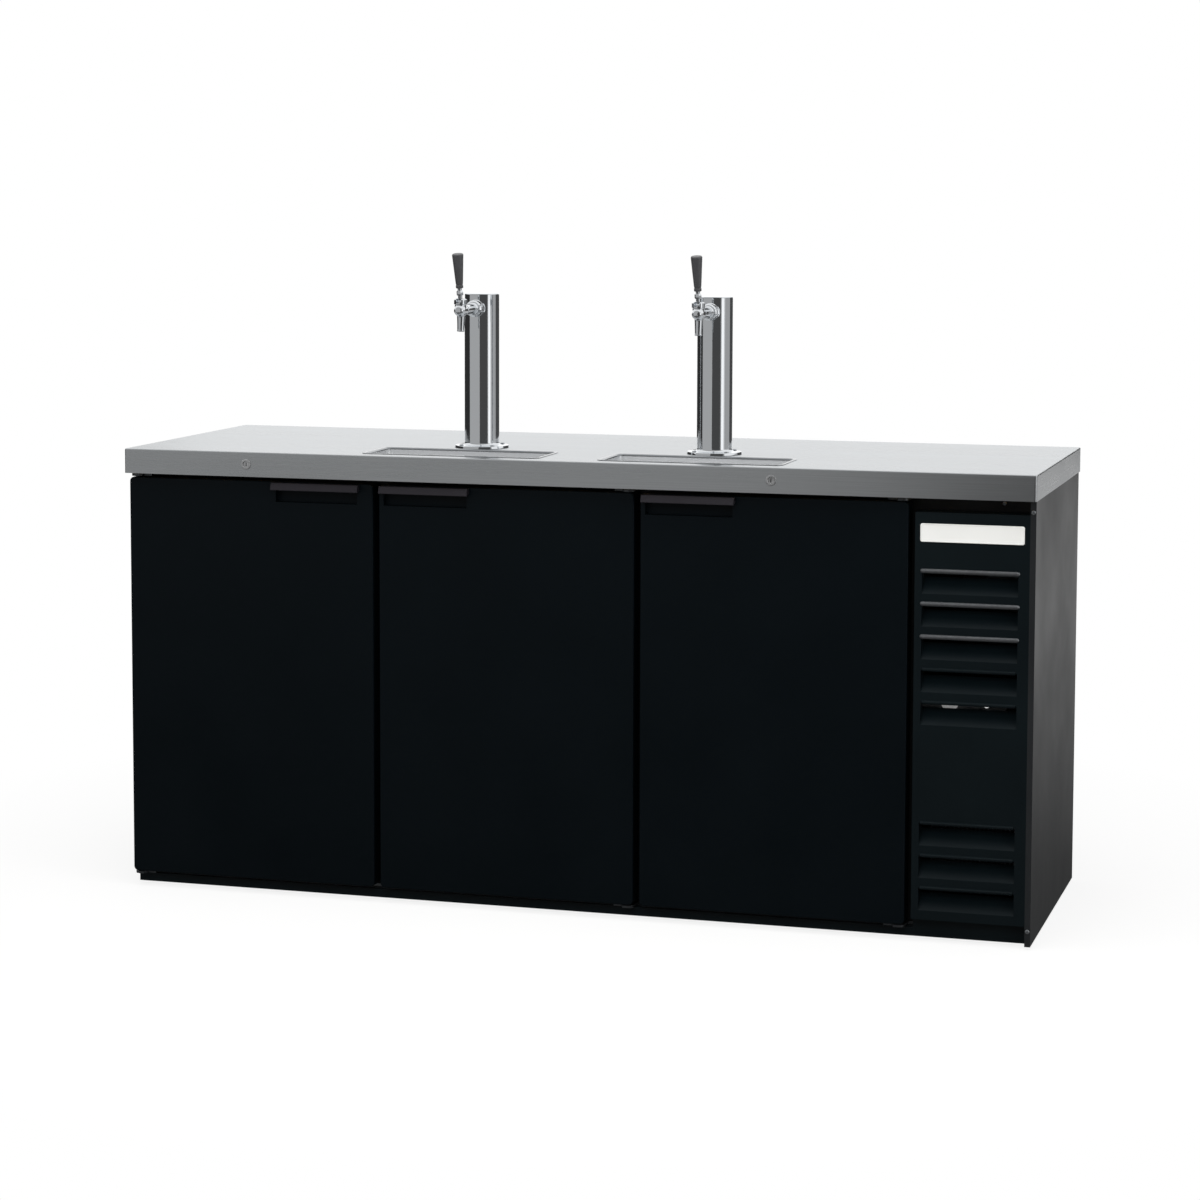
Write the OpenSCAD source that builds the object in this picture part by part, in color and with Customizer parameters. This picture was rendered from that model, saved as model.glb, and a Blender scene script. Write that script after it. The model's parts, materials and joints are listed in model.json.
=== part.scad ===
// Three-door direct-draw keg cooler with two draft columns.
// Front faces -Y, floor is Z = 0, the worktop's centre is over the origin.

/* [Worktop] */
// worktop length, left to right
top_w = 2006; // [1900:1:2200]
// worktop depth, front to back
top_d = 680; // [640:1:760]
// worktop height above the floor
counter_h = 980; // [920:1:1060]
// height of the turned-down edges
apron_h = 54; // [50:1:70]
// bend radius of the worktop's edge
top_bend_r = 3; // [2:0.5:5]
// radius of the worktop's welded corners
top_corner_r = 5; // [4:0.5:10]
// sheet steel as drawn
sheet = 2; // [1.5:0.5:3]
// worktop's reach past the doors' faces
front_overhang = 20; // [20:1:30]
// worktop's reach past the side panels
side_overhang = 3; // [3:1:10]
// worktop's reach past the rear panel
rear_setback = 4; // [4:1:12]
// width of the hem under the front edge
hem_w = 12; // [8:1:20]

/* [Cabinet] */
// foam thickness of the insulated walls
foam_t = 46; // [35:1:60]
// underside of the cabinet's skirts above the floor
skirt_z = 6; // [4:1:12]
// top of the base pan
base_top = 30; // [28:1:40]
// thickness of the front face frame
frame_t = 12; // [8:1:20]
// face frame covered by each edge of a door
frame_lap = 50; // [48:1:58]
// depth of the posts behind the frame
mullion_d = 48; // [30:1:60]
// diameter of a levelling foot
foot_d = 44; // [30:1:60]
// width of the machine bay, last door to the cabinet's end
machine_w = 262; // [256:1:300]
// setback of the kick plate behind the doors' faces
kick_setback = 28; // [20:1:34]

/* [Doors] */
// gap between doors
door_gap = 14; // [14:1:18]
// thickness of a door without its gasket
door_t = 44; // [40:1:50]
// underside of the doors above the floor
door_bottom = 34; // [33:1:40]
// gap between doors and the worktop's edge
door_top_gap = 10; // [10:1:14]
// corner radius of a door's outline
door_corner_r = 10; // [6:1:16]
// fillet round a door's face
door_edge_r = 3; // [2:0.5:5]
// squeezed thickness of the gasket
gasket_t = 10; // [8:1:12]
// width of the gasket strip
gasket_w = 16; // [12:1:18]
// gasket's distance from the door's edge
gasket_inset = 16; // [15:1:18]
// hinge pin radius
pin_r = 5; // [4:0.5:6]
// hinge axis in from the door's side edge
hinge_in = 14; // [12:1:15]
// hinge axis behind the door's face
hinge_back = 16; // [14:1:18]

/* [Door pulls] */
// length of a pull
pull_w = 200; // [160:1:260]
// height of a pull's lip
pull_lip_h = 16; // [14:1:24]
// wall of a pull
pull_t = 3; // [2.5:0.5:4]
// lean of the lip, top behind bottom
pull_lean = 6; // [3:0.5:8]
// depth of the finger recess behind a pull
pocket_d = 16; // [12:1:20]
// height of the finger recess
pocket_h = 32; // [26:1:40]
// pull's distance from the door's edge on the right-hinged doors
pull_inset = 5; // [4:1:40]
// pull's distance from the door's edge on the left-hinged door
pull_inset_left = 30; // [4:1:60]

/* [Locks] */
// radius of a lock barrel
lock_r = 10; // [8:0.5:12]
// radius of the turning plug
plug_r = 6.5; // [5:0.5:7.5]
// barrel length behind the worktop's edge
lock_len = 24; // [20:1:28]
// length of the cam behind the plug
cam_len = 18; // [14:1:20]

/* [Grille] */
// width of the side panel's front return
side_return = 12; // [10:1:20]
// underside of the grille above the floor
grille_bottom = 48; // [44:1:60]
// gap between the grille and the worktop's edge
grille_top_gap = 30; // [20:1:40]
// louvre pitch
louvre_pitch = 68; // [60:1:72]
// slot height of a louvre
louvre_h = 46; // [36:1:50]
// how far a louvre blade leans in
louvre_d = 30; // [20:1:36]
// louvre length
louvre_w = 198; // [160:1:204]
// slots in the upper row group
upper_louvres = 5; // [3:1:6]
// slots in the lower row group
lower_louvres = 3; // [2:1:3]
// top of the first upper slot below the worktop
upper_drop = 206; // [190:1:230]
// top of the first lower slot above the floor
lower_rise = 250; // [230:1:260]
// rolled bead radius along a slot's top
bead_r = 4; // [3:0.5:5]
// nameplate width
plate_w = 214; // [150:1:220]
// nameplate height
plate_h = 38; // [24:1:50]
// nameplate's top below the worktop
plate_drop = 107; // [100:1:120]

/* [Drip trays] */
// tray length over its rim
tray_w = 404; // [340:1:420]
// tray depth over its rim
tray_d = 166; // [130:1:180]
// depth of the pan below the worktop
tray_h = 30; // [24:1:36]
// width of the rim
tray_rim = 9; // [7:1:12]
// pan's distance behind the worktop's front edge
tray_front = 38; // [36:1:60]
// radius of the pan's corners
tray_corner_r = 12; // [8:1:20]
// height of the grid's feet
grid_foot_h = 14; // [10:1:18]
// slots along the grid
grid_cols = 13; // [8:1:16]
// radius of the drain nipple
nipple_r = 9.5; // [8:0.5:12]
// free length of the drain nipple
nipple_len = 28; // [20:1:40]

/* [Draft towers] */
// distance of each tower from the centre
tower_x = 265; // [240:1:320]
// tower axis behind the worktop's front edge
tower_back = 270; // [268:1:300]
// radius of the column
column_r = 38.1; // [35:0.1:45]
// height of the column with its cap
tower_h = 342; // [300:1:400]
// radius of the column's foot
foot_r = 60; // [56:1:64]
// radius of the beer line hole under a tower
line_hole_r = 32; // [25:1:34]
// shank axis below the top of the tower
shank_drop = 33; // [30:1:60]
// faucet lever's distance from the column axis
reach = 146; // [135:1:160]
// lever pivot above the shank axis
pivot_up = 16; // [15:0.5:18]
// forward lean of the lever at rest
lever_lean = 10; // [6:1:12]
// length of the tap handle
handle_len = 75; // [60:1:100]
// radius of the tap handle's top
handle_top_r = 12.5; // [9:0.5:14]
// radius of the tap handle's bottom
handle_low_r = 8; // [7:0.5:10]
// spout tip below the shank axis
spout_drop = 46; // [40:1:60]

/* [Cooling] */
// condenser width
cond_w = 190; // [150:1:200]
// condenser height
cond_h = 300; // [240:1:320]
// compressor shell radius
comp_r = 78; // [60:1:90]
// compressor shell height
comp_h = 165; // [140:1:200]
// radius of both fans
fan_r = 82; // [70:1:86]
// depth of the evaporator cover
evap_d = 116; // [110:1:130]
// width of the evaporator cover
evap_w = 400; // [300:1:440]
// height of the evaporator cover
evap_h = 380; // [300:1:420]

/* [Hidden] */
$fn = 64;
run_fit = 0.05;
slip = 0.5;

half_w = top_w / 2;
y_edge = -top_d / 2;
y_rear = top_d / 2;
body_x = half_w - side_overhang;
y_back = y_rear - rear_setback;
y_door = y_edge + front_overhang;
y_door_back = y_door + door_t;
y_face = y_door_back + gasket_t;
body_top = counter_h - apron_h;
under_top = counter_h - sheet;
door_top = body_top - door_top_gap;
door_h = door_top - door_bottom;
door_w = (2 * body_x - machine_w - 2 * door_gap) / 3;
door_step = door_w + door_gap;
doors_x0 = -body_x;
doors_x1 = doors_x0 + 3 * door_w + 2 * door_gap;
y_hinge = y_door + hinge_back;

// insulated box
box_x0 = -body_x + sheet;
box_x1 = doors_x1 + door_gap / 2;
box_y0 = y_face + frame_t;
box_y1 = y_back - sheet;
tank_x0 = box_x0 + foam_t;
tank_x1 = box_x1 - foam_t;
tank_y1 = box_y1 - foam_t;
tank_z0 = base_top + foam_t;
tank_z1 = body_top - foam_t;
open_z0 = tank_z0 + sheet;
open_z1 = tank_z1 - sheet;

// machine compartment and grille
grille_x0 = doors_x1 + door_gap;
grille_x1 = body_x - side_return;
grille_z1 = body_top - grille_top_gap;
grille_cx = (grille_x0 + grille_x1) / 2;
louvre_x0 = grille_cx - louvre_w / 2 - 4;
louvre_x1 = louvre_x0 + louvre_w;
mach_cx = (box_x1 + body_x) / 2;
y_kick = y_door + kick_setback;
bracket_t = 5;
bracket_gap = 1.5;
kick_top = door_bottom - bracket_gap - bracket_t - 3;

// trays
pan_w = tray_w - 2 * tray_rim;
pan_d = tray_d - 2 * tray_rim;
tray_y = y_edge + tray_front + tray_d / 2;
pan_floor = counter_h - tray_h;
pan_t = 1.5;
pan_clear = 1;
pipe_r = nipple_r + 1.5;
pipe_hole_r = pipe_r + pan_clear;
nipple_top = open_z1 - 2;
grid_z = pan_floor + pan_t + grid_foot_h;

// towers and faucets, measured forward of the column axis
tower_y = y_edge + tower_back;
tube_t = 2;
cap_h = 4;
tower_top = counter_h + tower_h;
shank_z = tower_top - shank_drop;
shank_r = 11;
saddle_r = 19;
saddle_out = column_r + 6;
shank_end = saddle_out + 8;
nut_r = 18;
nut_len = 14;
tail_start = shank_end + slip;
nut_end = tail_start + 8;
valve_at = tail_start + 14;
shaft_r = 4.5;
chamber_r = 8.7;
finger_len = pivot_up / cos(lever_lean);
finger_r = 2.3;
bonnet_r = 14;
barrel_r = 13;
boss_top = barrel_r + 0.2;
ball_r = 7.5;
pivot_z = shank_z + pivot_up;
spout_lean = 6;
tip_u = reach - finger_len * sin(lever_lean);
handle_start = 33;
foot_screw_pcd = 2 * (column_r + 12.5);
foot_t = 6;
foot_screw_len = 26;
elbow_r = 5;
elbow_in = 12;
elbow_drop = 42;

// fans
cond_y0 = y_face + frame_t + 40;
cond_d = 55;
cond_z0 = base_top + 30;
cond_cz = cond_z0 + cond_h / 2;
cond_x0 = mach_cx - cond_w / 2;
shroud_y1 = cond_y0 + cond_d + 30;
motor_r = 30;
motor_len = 46;
spindle_r = 4;
fan_h = 26;
fan_inset = 14;
fan_y0 = shroud_y1 - fan_inset;
comp_rear_gap = 82;
comp_y = y_rear - comp_r - comp_rear_gap;
comp_plate_w = 2 * comp_r + 24;
comp_plate_d = 2 * comp_r;
comp_foot_in = 20;
evap_x0 = tank_x1 - sheet - evap_d;
evap_cy = (box_y0 + tank_y1) / 2 + 10;
evap_z0 = open_z1 - 30 - evap_h;
evap_cz = evap_z0 + evap_h * 0.6;
ctrl_w = 190;
ctrl_d = 60;
ctrl_h = 100;
ctrl_y0 = y_face + frame_t + 3;
ctrl_drop = 66;
ctrl_z0 = counter_h - upper_drop - (upper_louvres - 1) * louvre_pitch - ctrl_drop;
switch_out = 60;
switch_w = 24;
switch_h = 16;
knob_in = 72;
knob_up = 58;
knob_x = box_x1 + knob_in;
knob_z = ctrl_z0 + knob_up;

// helpers

module box(x0, x1, y0, y1, z0, z1) translate([x0, y0, z0]) cube([x1 - x0, y1 - y0, z1 - z0]);

// a (y, z) outline run along X
module along_x(x0, x1) translate([x0, 0, 0]) rotate([90, 0, 90]) linear_extrude(x1 - x0) children();

// a cylinder along +Y from y0 to y1
module rod_y(x, z, y0, y1, r) translate([x, y0, z]) rotate([-90, 0, 0]) cylinder(r = r, h = y1 - y0);

// a cylinder along +X from x0 to x1
module rod_x(y, z, x0, x1, r) translate([x0, y, z]) rotate([0, 90, 0]) cylinder(r = r, h = x1 - x0);

module round_rect(w, h, r) {
    square([w - 2 * r, h], center = true);
    square([w, h - 2 * r], center = true);
    for (i = [-1, 1], j = [-1, 1]) translate([i * (w / 2 - r), j * (h / 2 - r)]) circle(r);
}

// edge section of a sheet or panel: fillet r on the outer upper corner
module edge_section(span, t, r) {
    square([span - r, t]);
    translate([span - r, 0]) square([r, t - r]);
    translate([span - r, t - r]) intersection() { circle(r); square(r); }
}

// a panel lying in XY with rounded corners and a fillet round its upper face
module pillow(w, h, t, corner, fillet) {
    translate([-w / 2 + corner, -h / 2 + corner, 0]) cube([w - 2 * corner, h - 2 * corner, t]);
    for (q = [0:3]) {
        a = q % 2 == 0 ? w : h;
        b = q % 2 == 0 ? h : w;
        rotate([0, 0, 90 * q]) {
            translate([a / 2 - corner, b / 2 - corner, 0]) rotate([90, 0, 0])
                linear_extrude(b - 2 * corner) edge_section(corner, t, fillet);
            translate([a / 2 - corner, b / 2 - corner, 0]) rotate_extrude(angle = 90)
                edge_section(corner, t, fillet);
        }
    }
}

// the same panel standing up, its filleted face towards -Y at y0
module standing_panel(x0, x1, z0, z1, y0, t, corner, fillet)
    translate([(x0 + x1) / 2, y0 + t, (z0 + z1) / 2]) rotate([90, 0, 0])
        pillow(x1 - x0, z1 - z0, t, corner, fillet);

function door_x0(i) = doors_x0 + i * door_step;
function door_x1(i) = door_x0(i) + door_w;
function hinge_x(i) = i == 0 ? door_x0(0) + hinge_in : door_x1(i) - hinge_in;
function lock_x(i) = (door_x0(i) + door_x1(i)) / 2;
lock_z = body_top + apron_h / 2;

// cabinet

module base_pan() color("#3a3b3d") {
    box(-body_x + sheet, body_x - sheet, y_face, box_y1, base_top - sheet, base_top);
    for (y = [y_face, box_y1 - sheet])
        box(-body_x + sheet, body_x - sheet, y, y + sheet, skirt_z, base_top);
    for (x = [-body_x + sheet, body_x - 2 * sheet])
        box(x, x + sheet, y_face, box_y1, skirt_z, base_top);
}

module levelling_feet() color("#1c1c1d")
    for (x = [-body_x + 70, 0, body_x - 70], y = [y_face + 70, box_y1 - 60]) translate([x, y, 0]) {
        cylinder(r1 = foot_d / 2 - 2, r2 = foot_d / 2, h = 2);
        translate([0, 0, 2]) cylinder(r = foot_d / 2, h = 6);
        translate([0, 0, 8]) cylinder(r = 7, h = base_top - sheet - 8);
        translate([0, 0, 12]) cylinder(r = 13, h = 6, $fn = 6);
    }

module kick_plate() color("#121314") {
    box(-body_x + sheet, grille_x1, y_kick, y_kick + sheet, skirt_z, kick_top);
    box(-body_x + sheet, grille_x1, y_kick, y_face, kick_top - sheet, kick_top);
    box(grille_x0, grille_x1, y_kick, y_kick + sheet, skirt_z, grille_bottom - 2);
}

module left_side_panel() color("#4b4c4e") {
    box(-body_x, -body_x + sheet, y_face, y_back, skirt_z, body_top);
}

module right_side_panel() color("#4b4c4e") {
    box(body_x - sheet, body_x, y_door, y_back, skirt_z, body_top);
    box(grille_x1, body_x, y_door, y_door + sheet, skirt_z, body_top);
    box(grille_x1, grille_x1 + sheet, y_door, y_door + 18, skirt_z, body_top);
}

vent_rows = 9;
vent_w = 150;
vent_h = 9;
vent_step = 30;
vent_low = 70;
vent_high = 340;
hood_out = min(3.4, rear_setback - 0.6);
hood_lap = 2;
hood_t = 1;
function vent_rises() = [for (z0 = [base_top + vent_low, body_top - vent_high], i = [0:vent_rows - 1])
    z0 + i * vent_step];

// pressed hood over one rear slot, open along its lower edge
module vent_hood(z) {
    top = z + vent_h + hood_lap;
    out = y_back + hood_out;
    x0 = mach_cx - vent_w / 2 - hood_lap;
    x1 = mach_cx + vent_w / 2 + hood_lap;
    along_x(x0, x1) polygon([[y_back - hood_t, top], [y_back, top], [out, top - hood_out], [out, z],
        [out - hood_t, z], [out - hood_t, top - hood_out - hood_t / 2], [y_back, top - 1.5 * hood_t],
        [y_back - hood_t, top - 1.5 * hood_t]]);
    for (x = [x0, x1 - hood_t]) along_x(x, x + hood_t) polygon([[y_back - hood_t, z], [y_back - hood_t, top],
        [y_back, top], [out, top - hood_out], [out, z]]);
}

module rear_panel() color("#8d9093") {
    difference() {
        box(-body_x + sheet, body_x - sheet, box_y1, y_back, skirt_z, body_top);
        for (z = vent_rises()) {
            box(mach_cx - vent_w / 2 + vent_h / 2, mach_cx + vent_w / 2 - vent_h / 2,
                box_y1 - 1, y_back + 1, z, z + vent_h);
            for (s = [-1, 1]) rod_y(mach_cx + s * (vent_w - vent_h) / 2, z + vent_h / 2,
                box_y1 - 1, y_back + 1, vent_h / 2);
        }
    }
    for (z = vent_rises()) vent_hood(z);
}

module line_holes(z0, z1) for (s = [-1, 1]) {
    translate([s * tower_x, tower_y, z0]) cylinder(r = line_hole_r, h = z1 - z0);
    translate([s * tower_x, tray_y, z0]) cylinder(r = pipe_hole_r, h = z1 - z0);
}

module insulation() color("#d8c48a") difference() {
    box(box_x0, box_x1, box_y0, box_y1, base_top, body_top);
    box(tank_x0, tank_x1, box_y0 - 1, tank_y1, tank_z0, tank_z1);
    line_holes(tank_z1 - 1, body_top + 1);
}

module cabinet_liner() color("#c9ccce") difference() {
    box(tank_x0, tank_x1, box_y0, tank_y1, tank_z0, tank_z1);
    box(tank_x0 + sheet, tank_x1 - sheet, box_y0 - 1, tank_y1 - sheet, open_z0, open_z1);
    line_holes(open_z1 - 1, tank_z1 + 1);
}

mach_open_x0 = box_x1 + 14;
mach_open_x1 = body_x - side_return - 8;
module face_frame() color("#17181a") difference() {
    union() {
        box(box_x0, box_x1, y_face, box_y0, base_top, body_top);
        for (i = [1, 2]) box(door_x0(i) - door_gap / 2 - 30, door_x0(i) - door_gap / 2 + 30,
            box_y0, box_y0 + mullion_d, open_z0, open_z1);
    }
    for (i = [0:2]) box(door_x0(i) + frame_lap, door_x1(i) - frame_lap,
        y_face - 1, box_y0 + 1, open_z0, open_z1);
}

module machine_frame() color("#17181a") difference() {
    box(box_x1, body_x - sheet, y_face, box_y0, base_top, body_top);
    box(mach_open_x0, mach_open_x1, y_face - 1, box_y0 + 1, grille_bottom + 20, grille_z1 - 16);
}

module foot_screw_holes(z0, z1, r) for (s = [-1, 1], a = [45:90:315])
    translate([s * tower_x, tower_y, z0]) rotate([0, 0, a]) translate([foot_screw_pcd / 2, 0, 0])
        cylinder(r = r, h = z1 - z0);

module countertop() color("#c4c7ca") difference() {
    translate([0, 0, body_top]) pillow(top_w, top_d, apron_h, top_corner_r, top_bend_r);
    box(-half_w + sheet, half_w - sheet, y_edge + sheet, y_rear - sheet, body_top + sheet, under_top);
    box(-half_w + sheet, half_w - sheet, y_edge + hem_w, y_rear - sheet, body_top - 1, under_top);
    for (s = [-1, 1]) {
        translate([s * tower_x, tray_y, under_top - 1]) linear_extrude(sheet + 2)
            round_rect(pan_w + 2 * pan_clear, pan_d + 2 * pan_clear, tray_corner_r + pan_clear);
        translate([s * tower_x, tower_y, under_top - 1]) cylinder(r = line_hole_r, h = sheet + 2);
    }
    foot_screw_holes(under_top - 1, counter_h + 1, 2.7);
    for (i = [0, 2]) rod_y(lock_x(i), lock_z, y_edge - 1, y_edge + sheet + 1, lock_r + run_fit);
}

// worktop core: boards laid round the tray wells, the line ducts and the lock cams
board_gap = 0.5;
core_x = half_w - sheet;
well_x = pan_w / 2 + pan_clear;
well_y0 = tray_y - pan_d / 2 - pan_clear;
well_y1 = tray_y + pan_d / 2 + pan_clear;
duct_half = line_hole_r - 4;
cam_room = cam_len + 6;
// where a row of boards stops and starts for two gaps
function stops(xa, xb, half) = [-core_x, xa - half, xa + half, xb - half, xb + half, core_x];

module core_board(x0, x1, y0, y1, z0 = body_top, z1 = under_top)
    box(x0 + board_gap, x1 - board_gap, y0 + board_gap, y1 - board_gap, z0, z1);

module core_row(x, y0, y1, z0 = body_top) for (i = [0, 2, 4]) core_board(x[i], x[i + 1], y0, y1, z0);

// four boards round the drain pipe under each tray
module core_under_tray(s) for (k = [-1, 1]) {
    x0 = s * tower_x + min(k * well_x, k * pipe_hole_r);
    y0 = tray_y + min(k * (well_y1 - tray_y), k * pipe_hole_r);
    core_board(x0, x0 + well_x - pipe_hole_r, well_y0, well_y1, z1 = pan_floor - pan_clear);
    core_board(s * tower_x - pipe_hole_r, s * tower_x + pipe_hole_r,
        y0, y0 + well_y1 - tray_y - pipe_hole_r, z1 = pan_floor - pan_clear);
}

module counter_core() color("#b79b6c") difference() {
    union() {
        core_row(stops(lock_x(0), lock_x(2), cam_room), y_edge + sheet, well_y0, body_top + sheet);
        core_row(stops(-tower_x, tower_x, well_x), well_y0, well_y1);
        core_row(stops(-tower_x, tower_x, duct_half), well_y1, y_rear - sheet);
        for (s = [-1, 1]) {
            core_under_tray(s);
            core_board(s * tower_x - duct_half, s * tower_x + duct_half, well_y1, tower_y - duct_half);
            core_board(s * tower_x - duct_half, s * tower_x + duct_half, tower_y + duct_half, y_rear - sheet);
        }
    }
    foot_screw_holes(under_top - foot_screw_len, under_top + 1, 2.7);
}

// grille, nameplate and screws

function louvre_tops() = concat(
    [for (i = [0:upper_louvres - 1]) counter_h - upper_drop - i * louvre_pitch],
    [for (i = [0:lower_louvres - 1]) lower_rise - i * louvre_pitch]);

module louvre(z_top) {
    z_low = z_top - louvre_h;
    along_x(louvre_x0 - sheet, louvre_x1 + sheet) polygon([
        [y_door, z_low], [y_door + louvre_d, z_low + louvre_h * 0.7],
        [y_door + louvre_d, z_low + louvre_h * 0.7 - 3], [y_door + sheet, z_low - 3], [y_door, z_low - 3]]);
    for (x = [louvre_x0 - sheet, louvre_x1]) along_x(x, x + sheet) polygon([
        [y_door, z_low - 3], [y_door, z_top + 2], [y_door + sheet, z_top + 2],
        [y_door + louvre_d, z_low + louvre_h * 0.7], [y_door + louvre_d, z_low + louvre_h * 0.7 - 3]]);
    rod_x(y_door + 1, z_top + 1, louvre_x0 + 3, louvre_x1 - 3, bead_r);
}

module grille_panel() color("#1a1b1d") {
    difference() {
        box(grille_x0, grille_x1, y_door, y_face, grille_bottom, grille_z1);
        box(grille_x0 + sheet, grille_x1 - sheet, y_door + sheet, y_face + 1,
            grille_bottom + sheet, grille_z1 - sheet);
        for (z = louvre_tops()) box(louvre_x0, louvre_x1, y_door - 1, y_door + sheet + 1, z - louvre_h, z);
    }
    for (z = louvre_tops()) louvre(z);
}

plate_t = 2.5;
module nameplate() color("#f2f2f0")
    standing_panel(grille_cx - plate_w / 2, grille_cx + plate_w / 2, counter_h - plate_drop - plate_h,
        counter_h - plate_drop, y_door - plate_t, plate_t, 4, 1);

module screw_head(x, y, z) translate([x, y, z]) rotate([90, 0, 0]) difference() {
    union() {
        cylinder(r = 4.5, h = 1.2);
        translate([0, 0, 1.2]) cylinder(r1 = 4.5, r2 = 3, h = 1.2);
    }
    translate([-0.6, -3.2, 1.4]) cube([1.2, 6.4, 2]);
    translate([-3.2, -0.6, 1.4]) cube([6.4, 1.2, 2]);
}

module panel_screws() color("#b9bcbf") {
    screw_head(grille_cx + 57, y_face, body_top - 13);
    screw_head(body_x - side_return / 2, y_door, 38);
    screw_head(body_x - side_return / 2, y_door, body_top - 24);
    for (x = [-body_x + 20, 0, box_x1 - 20, body_x - 20], z = [60, counter_h / 2, body_top - 24])
        translate([x, y_back, z]) rotate([0, 0, 180]) screw_head(0, 0, 0);
}

// doors

module hinge_bracket(i, z, up) {
    side = i == 0 ? 1 : -1;
    x_edge = i == 0 ? door_x0(i) : door_x1(i);
    x_a = min(x_edge, x_edge + side * 46);
    difference() {
        box(x_a, x_a + 46, y_hinge, y_face, z, z + bracket_t);
        translate([x_edge + side * 36, y_face - 9, z - 1]) cylinder(r = 3, h = bracket_t + 2);
    }
    translate([hinge_x(i), y_hinge, z]) cylinder(r = hinge_in, h = bracket_t);
    box(min(hinge_x(i), x_a + 23), max(hinge_x(i), x_a + 23), y_hinge - hinge_in, y_hinge + 1,
        z, z + bracket_t);
    translate([hinge_x(i), y_hinge, up ? z : z - 24]) cylinder(r = pin_r, h = 24 + bracket_t);
}

module hinge_brackets() color("#a9adb1") for (i = [0:2]) {
    hinge_bracket(i, door_bottom - bracket_gap - bracket_t, true);
    hinge_bracket(i, door_top + bracket_gap, false);
}

module door_shell(i) difference() {
    standing_panel(door_x0(i), door_x1(i), door_bottom, door_top, y_door, door_t,
        door_corner_r, door_edge_r);
    for (z = [door_bottom - 1, door_top - 26]) translate([hinge_x(i), y_hinge, z])
        cylinder(r = pin_r + run_fit, h = 27);
    box(pull_x0(i) + 2 * pull_t, pull_x0(i) + pull_w - 2 * pull_t, y_door - 1, y_door + pocket_d,
        pull_top - pull_flange - pocket_h, pull_top - pull_flange);
}

module door_ring(i, inset, y0, y1, w, r)
    translate([(door_x0(i) + door_x1(i)) / 2, y1, (door_bottom + door_top) / 2]) rotate([90, 0, 0])
        linear_extrude(y1 - y0) difference() {
        round_rect(door_w - 2 * inset, door_h - 2 * inset, r);
        round_rect(door_w - 2 * inset - 2 * w, door_h - 2 * inset - 2 * w, max(r - w, 2));
    }

liner_inset = gasket_inset + gasket_w + 2;
module door_liner(i) {
    difference() {
        box(door_x0(i) + liner_inset, door_x1(i) - liner_inset, y_door_back, y_door_back + gasket_t - 2,
            door_bottom + liner_inset, door_top - liner_inset);
        box(door_x0(i) + liner_inset + 30, door_x1(i) - liner_inset - 30, y_door_back + 3, y_face,
            door_bottom + liner_inset + 30, door_top - liner_inset - 30);
    }
}

module door_gasket(i) difference() {
    door_ring(i, gasket_inset, y_door_back, y_face, gasket_w, 6);
    door_ring(i, gasket_inset - 1, y_door_back + gasket_t * 0.35, y_door_back + gasket_t * 0.6, 4, 6);
}

function pull_x0(i) = i == 0 ? door_x1(0) - pull_inset_left - pull_w : door_x0(i) + pull_inset;

// (y, z) outline of a pull: flange on the door, web over the top, lip leaning out and down
pull_flange = 11;
pull_top = door_top - 2;
lip_y = y_edge + 1;
module pull_section() polygon([[y_door, pull_top], [lip_y + pull_lean, pull_top],
    [lip_y, pull_top - pull_lip_h], [lip_y + pull_t, pull_top - pull_lip_h],
    [lip_y + pull_lean + pull_t, pull_top - pull_t], [y_door - pull_t, pull_top - pull_t],
    [y_door - pull_t, pull_top - pull_flange], [y_door, pull_top - pull_flange]]);

module pull_cheek() polygon([
    [y_door, pull_top], [lip_y + pull_lean, pull_top], [lip_y, pull_top - pull_lip_h],
    [lip_y + pull_t, pull_top - pull_lip_h], [y_door, pull_top - pull_flange]]);

module door_pull(i) {
    along_x(pull_x0(i) + pull_t, pull_x0(i) + pull_w - pull_t) pull_section();
    for (x = [pull_x0(i), pull_x0(i) + pull_w - pull_t]) along_x(x, x + pull_t) pull_cheek();
}

module door_left_shell() color("#0f1316") door_shell(0);
module door_middle_shell() color("#0f1316") door_shell(1);
module door_right_shell() color("#0f1316") door_shell(2);
module door_left_liner() color("#c9ccce") door_liner(0);
module door_middle_liner() color("#c9ccce") door_liner(1);
module door_right_liner() color("#c9ccce") door_liner(2);
module door_left_gasket() color("#202122") door_gasket(0);
module door_middle_gasket() color("#202122") door_gasket(1);
module door_right_gasket() color("#202122") door_gasket(2);
module door_left_pull() color("#4a494c") door_pull(0);
module door_middle_pull() color("#4a494c") door_pull(1);
module door_right_pull() color("#4a494c") door_pull(2);

// locks

module lock_barrels() color("#b9bcbf") for (i = [0, 2]) difference() {
    union() {
        rod_y(lock_x(i), lock_z, y_edge, y_edge + lock_len, lock_r);
        rod_y(lock_x(i), lock_z, y_edge + sheet, y_edge + sheet + 5, lock_r + 4);
    }
    rod_y(lock_x(i), lock_z, y_edge - 1, y_edge + lock_len + 1, plug_r + run_fit);
}

module lock_plug(i) difference() {
    union() {
        rod_y(lock_x(i), lock_z, y_edge + 1, y_edge + lock_len + 5, plug_r);
        box(lock_x(i) - plug_r, lock_x(i) + cam_len, y_edge + lock_len + 1, y_edge + lock_len + 4,
            lock_z - plug_r, lock_z + plug_r);
    }
    box(lock_x(i) - 0.9, lock_x(i) + 0.9, y_edge, y_edge + 9, lock_z - 4, lock_z + 4);
}

module lock_plug_left() color("#8f9296") lock_plug(0);
module lock_plug_right() color("#8f9296") lock_plug(2);

// drip trays

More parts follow.
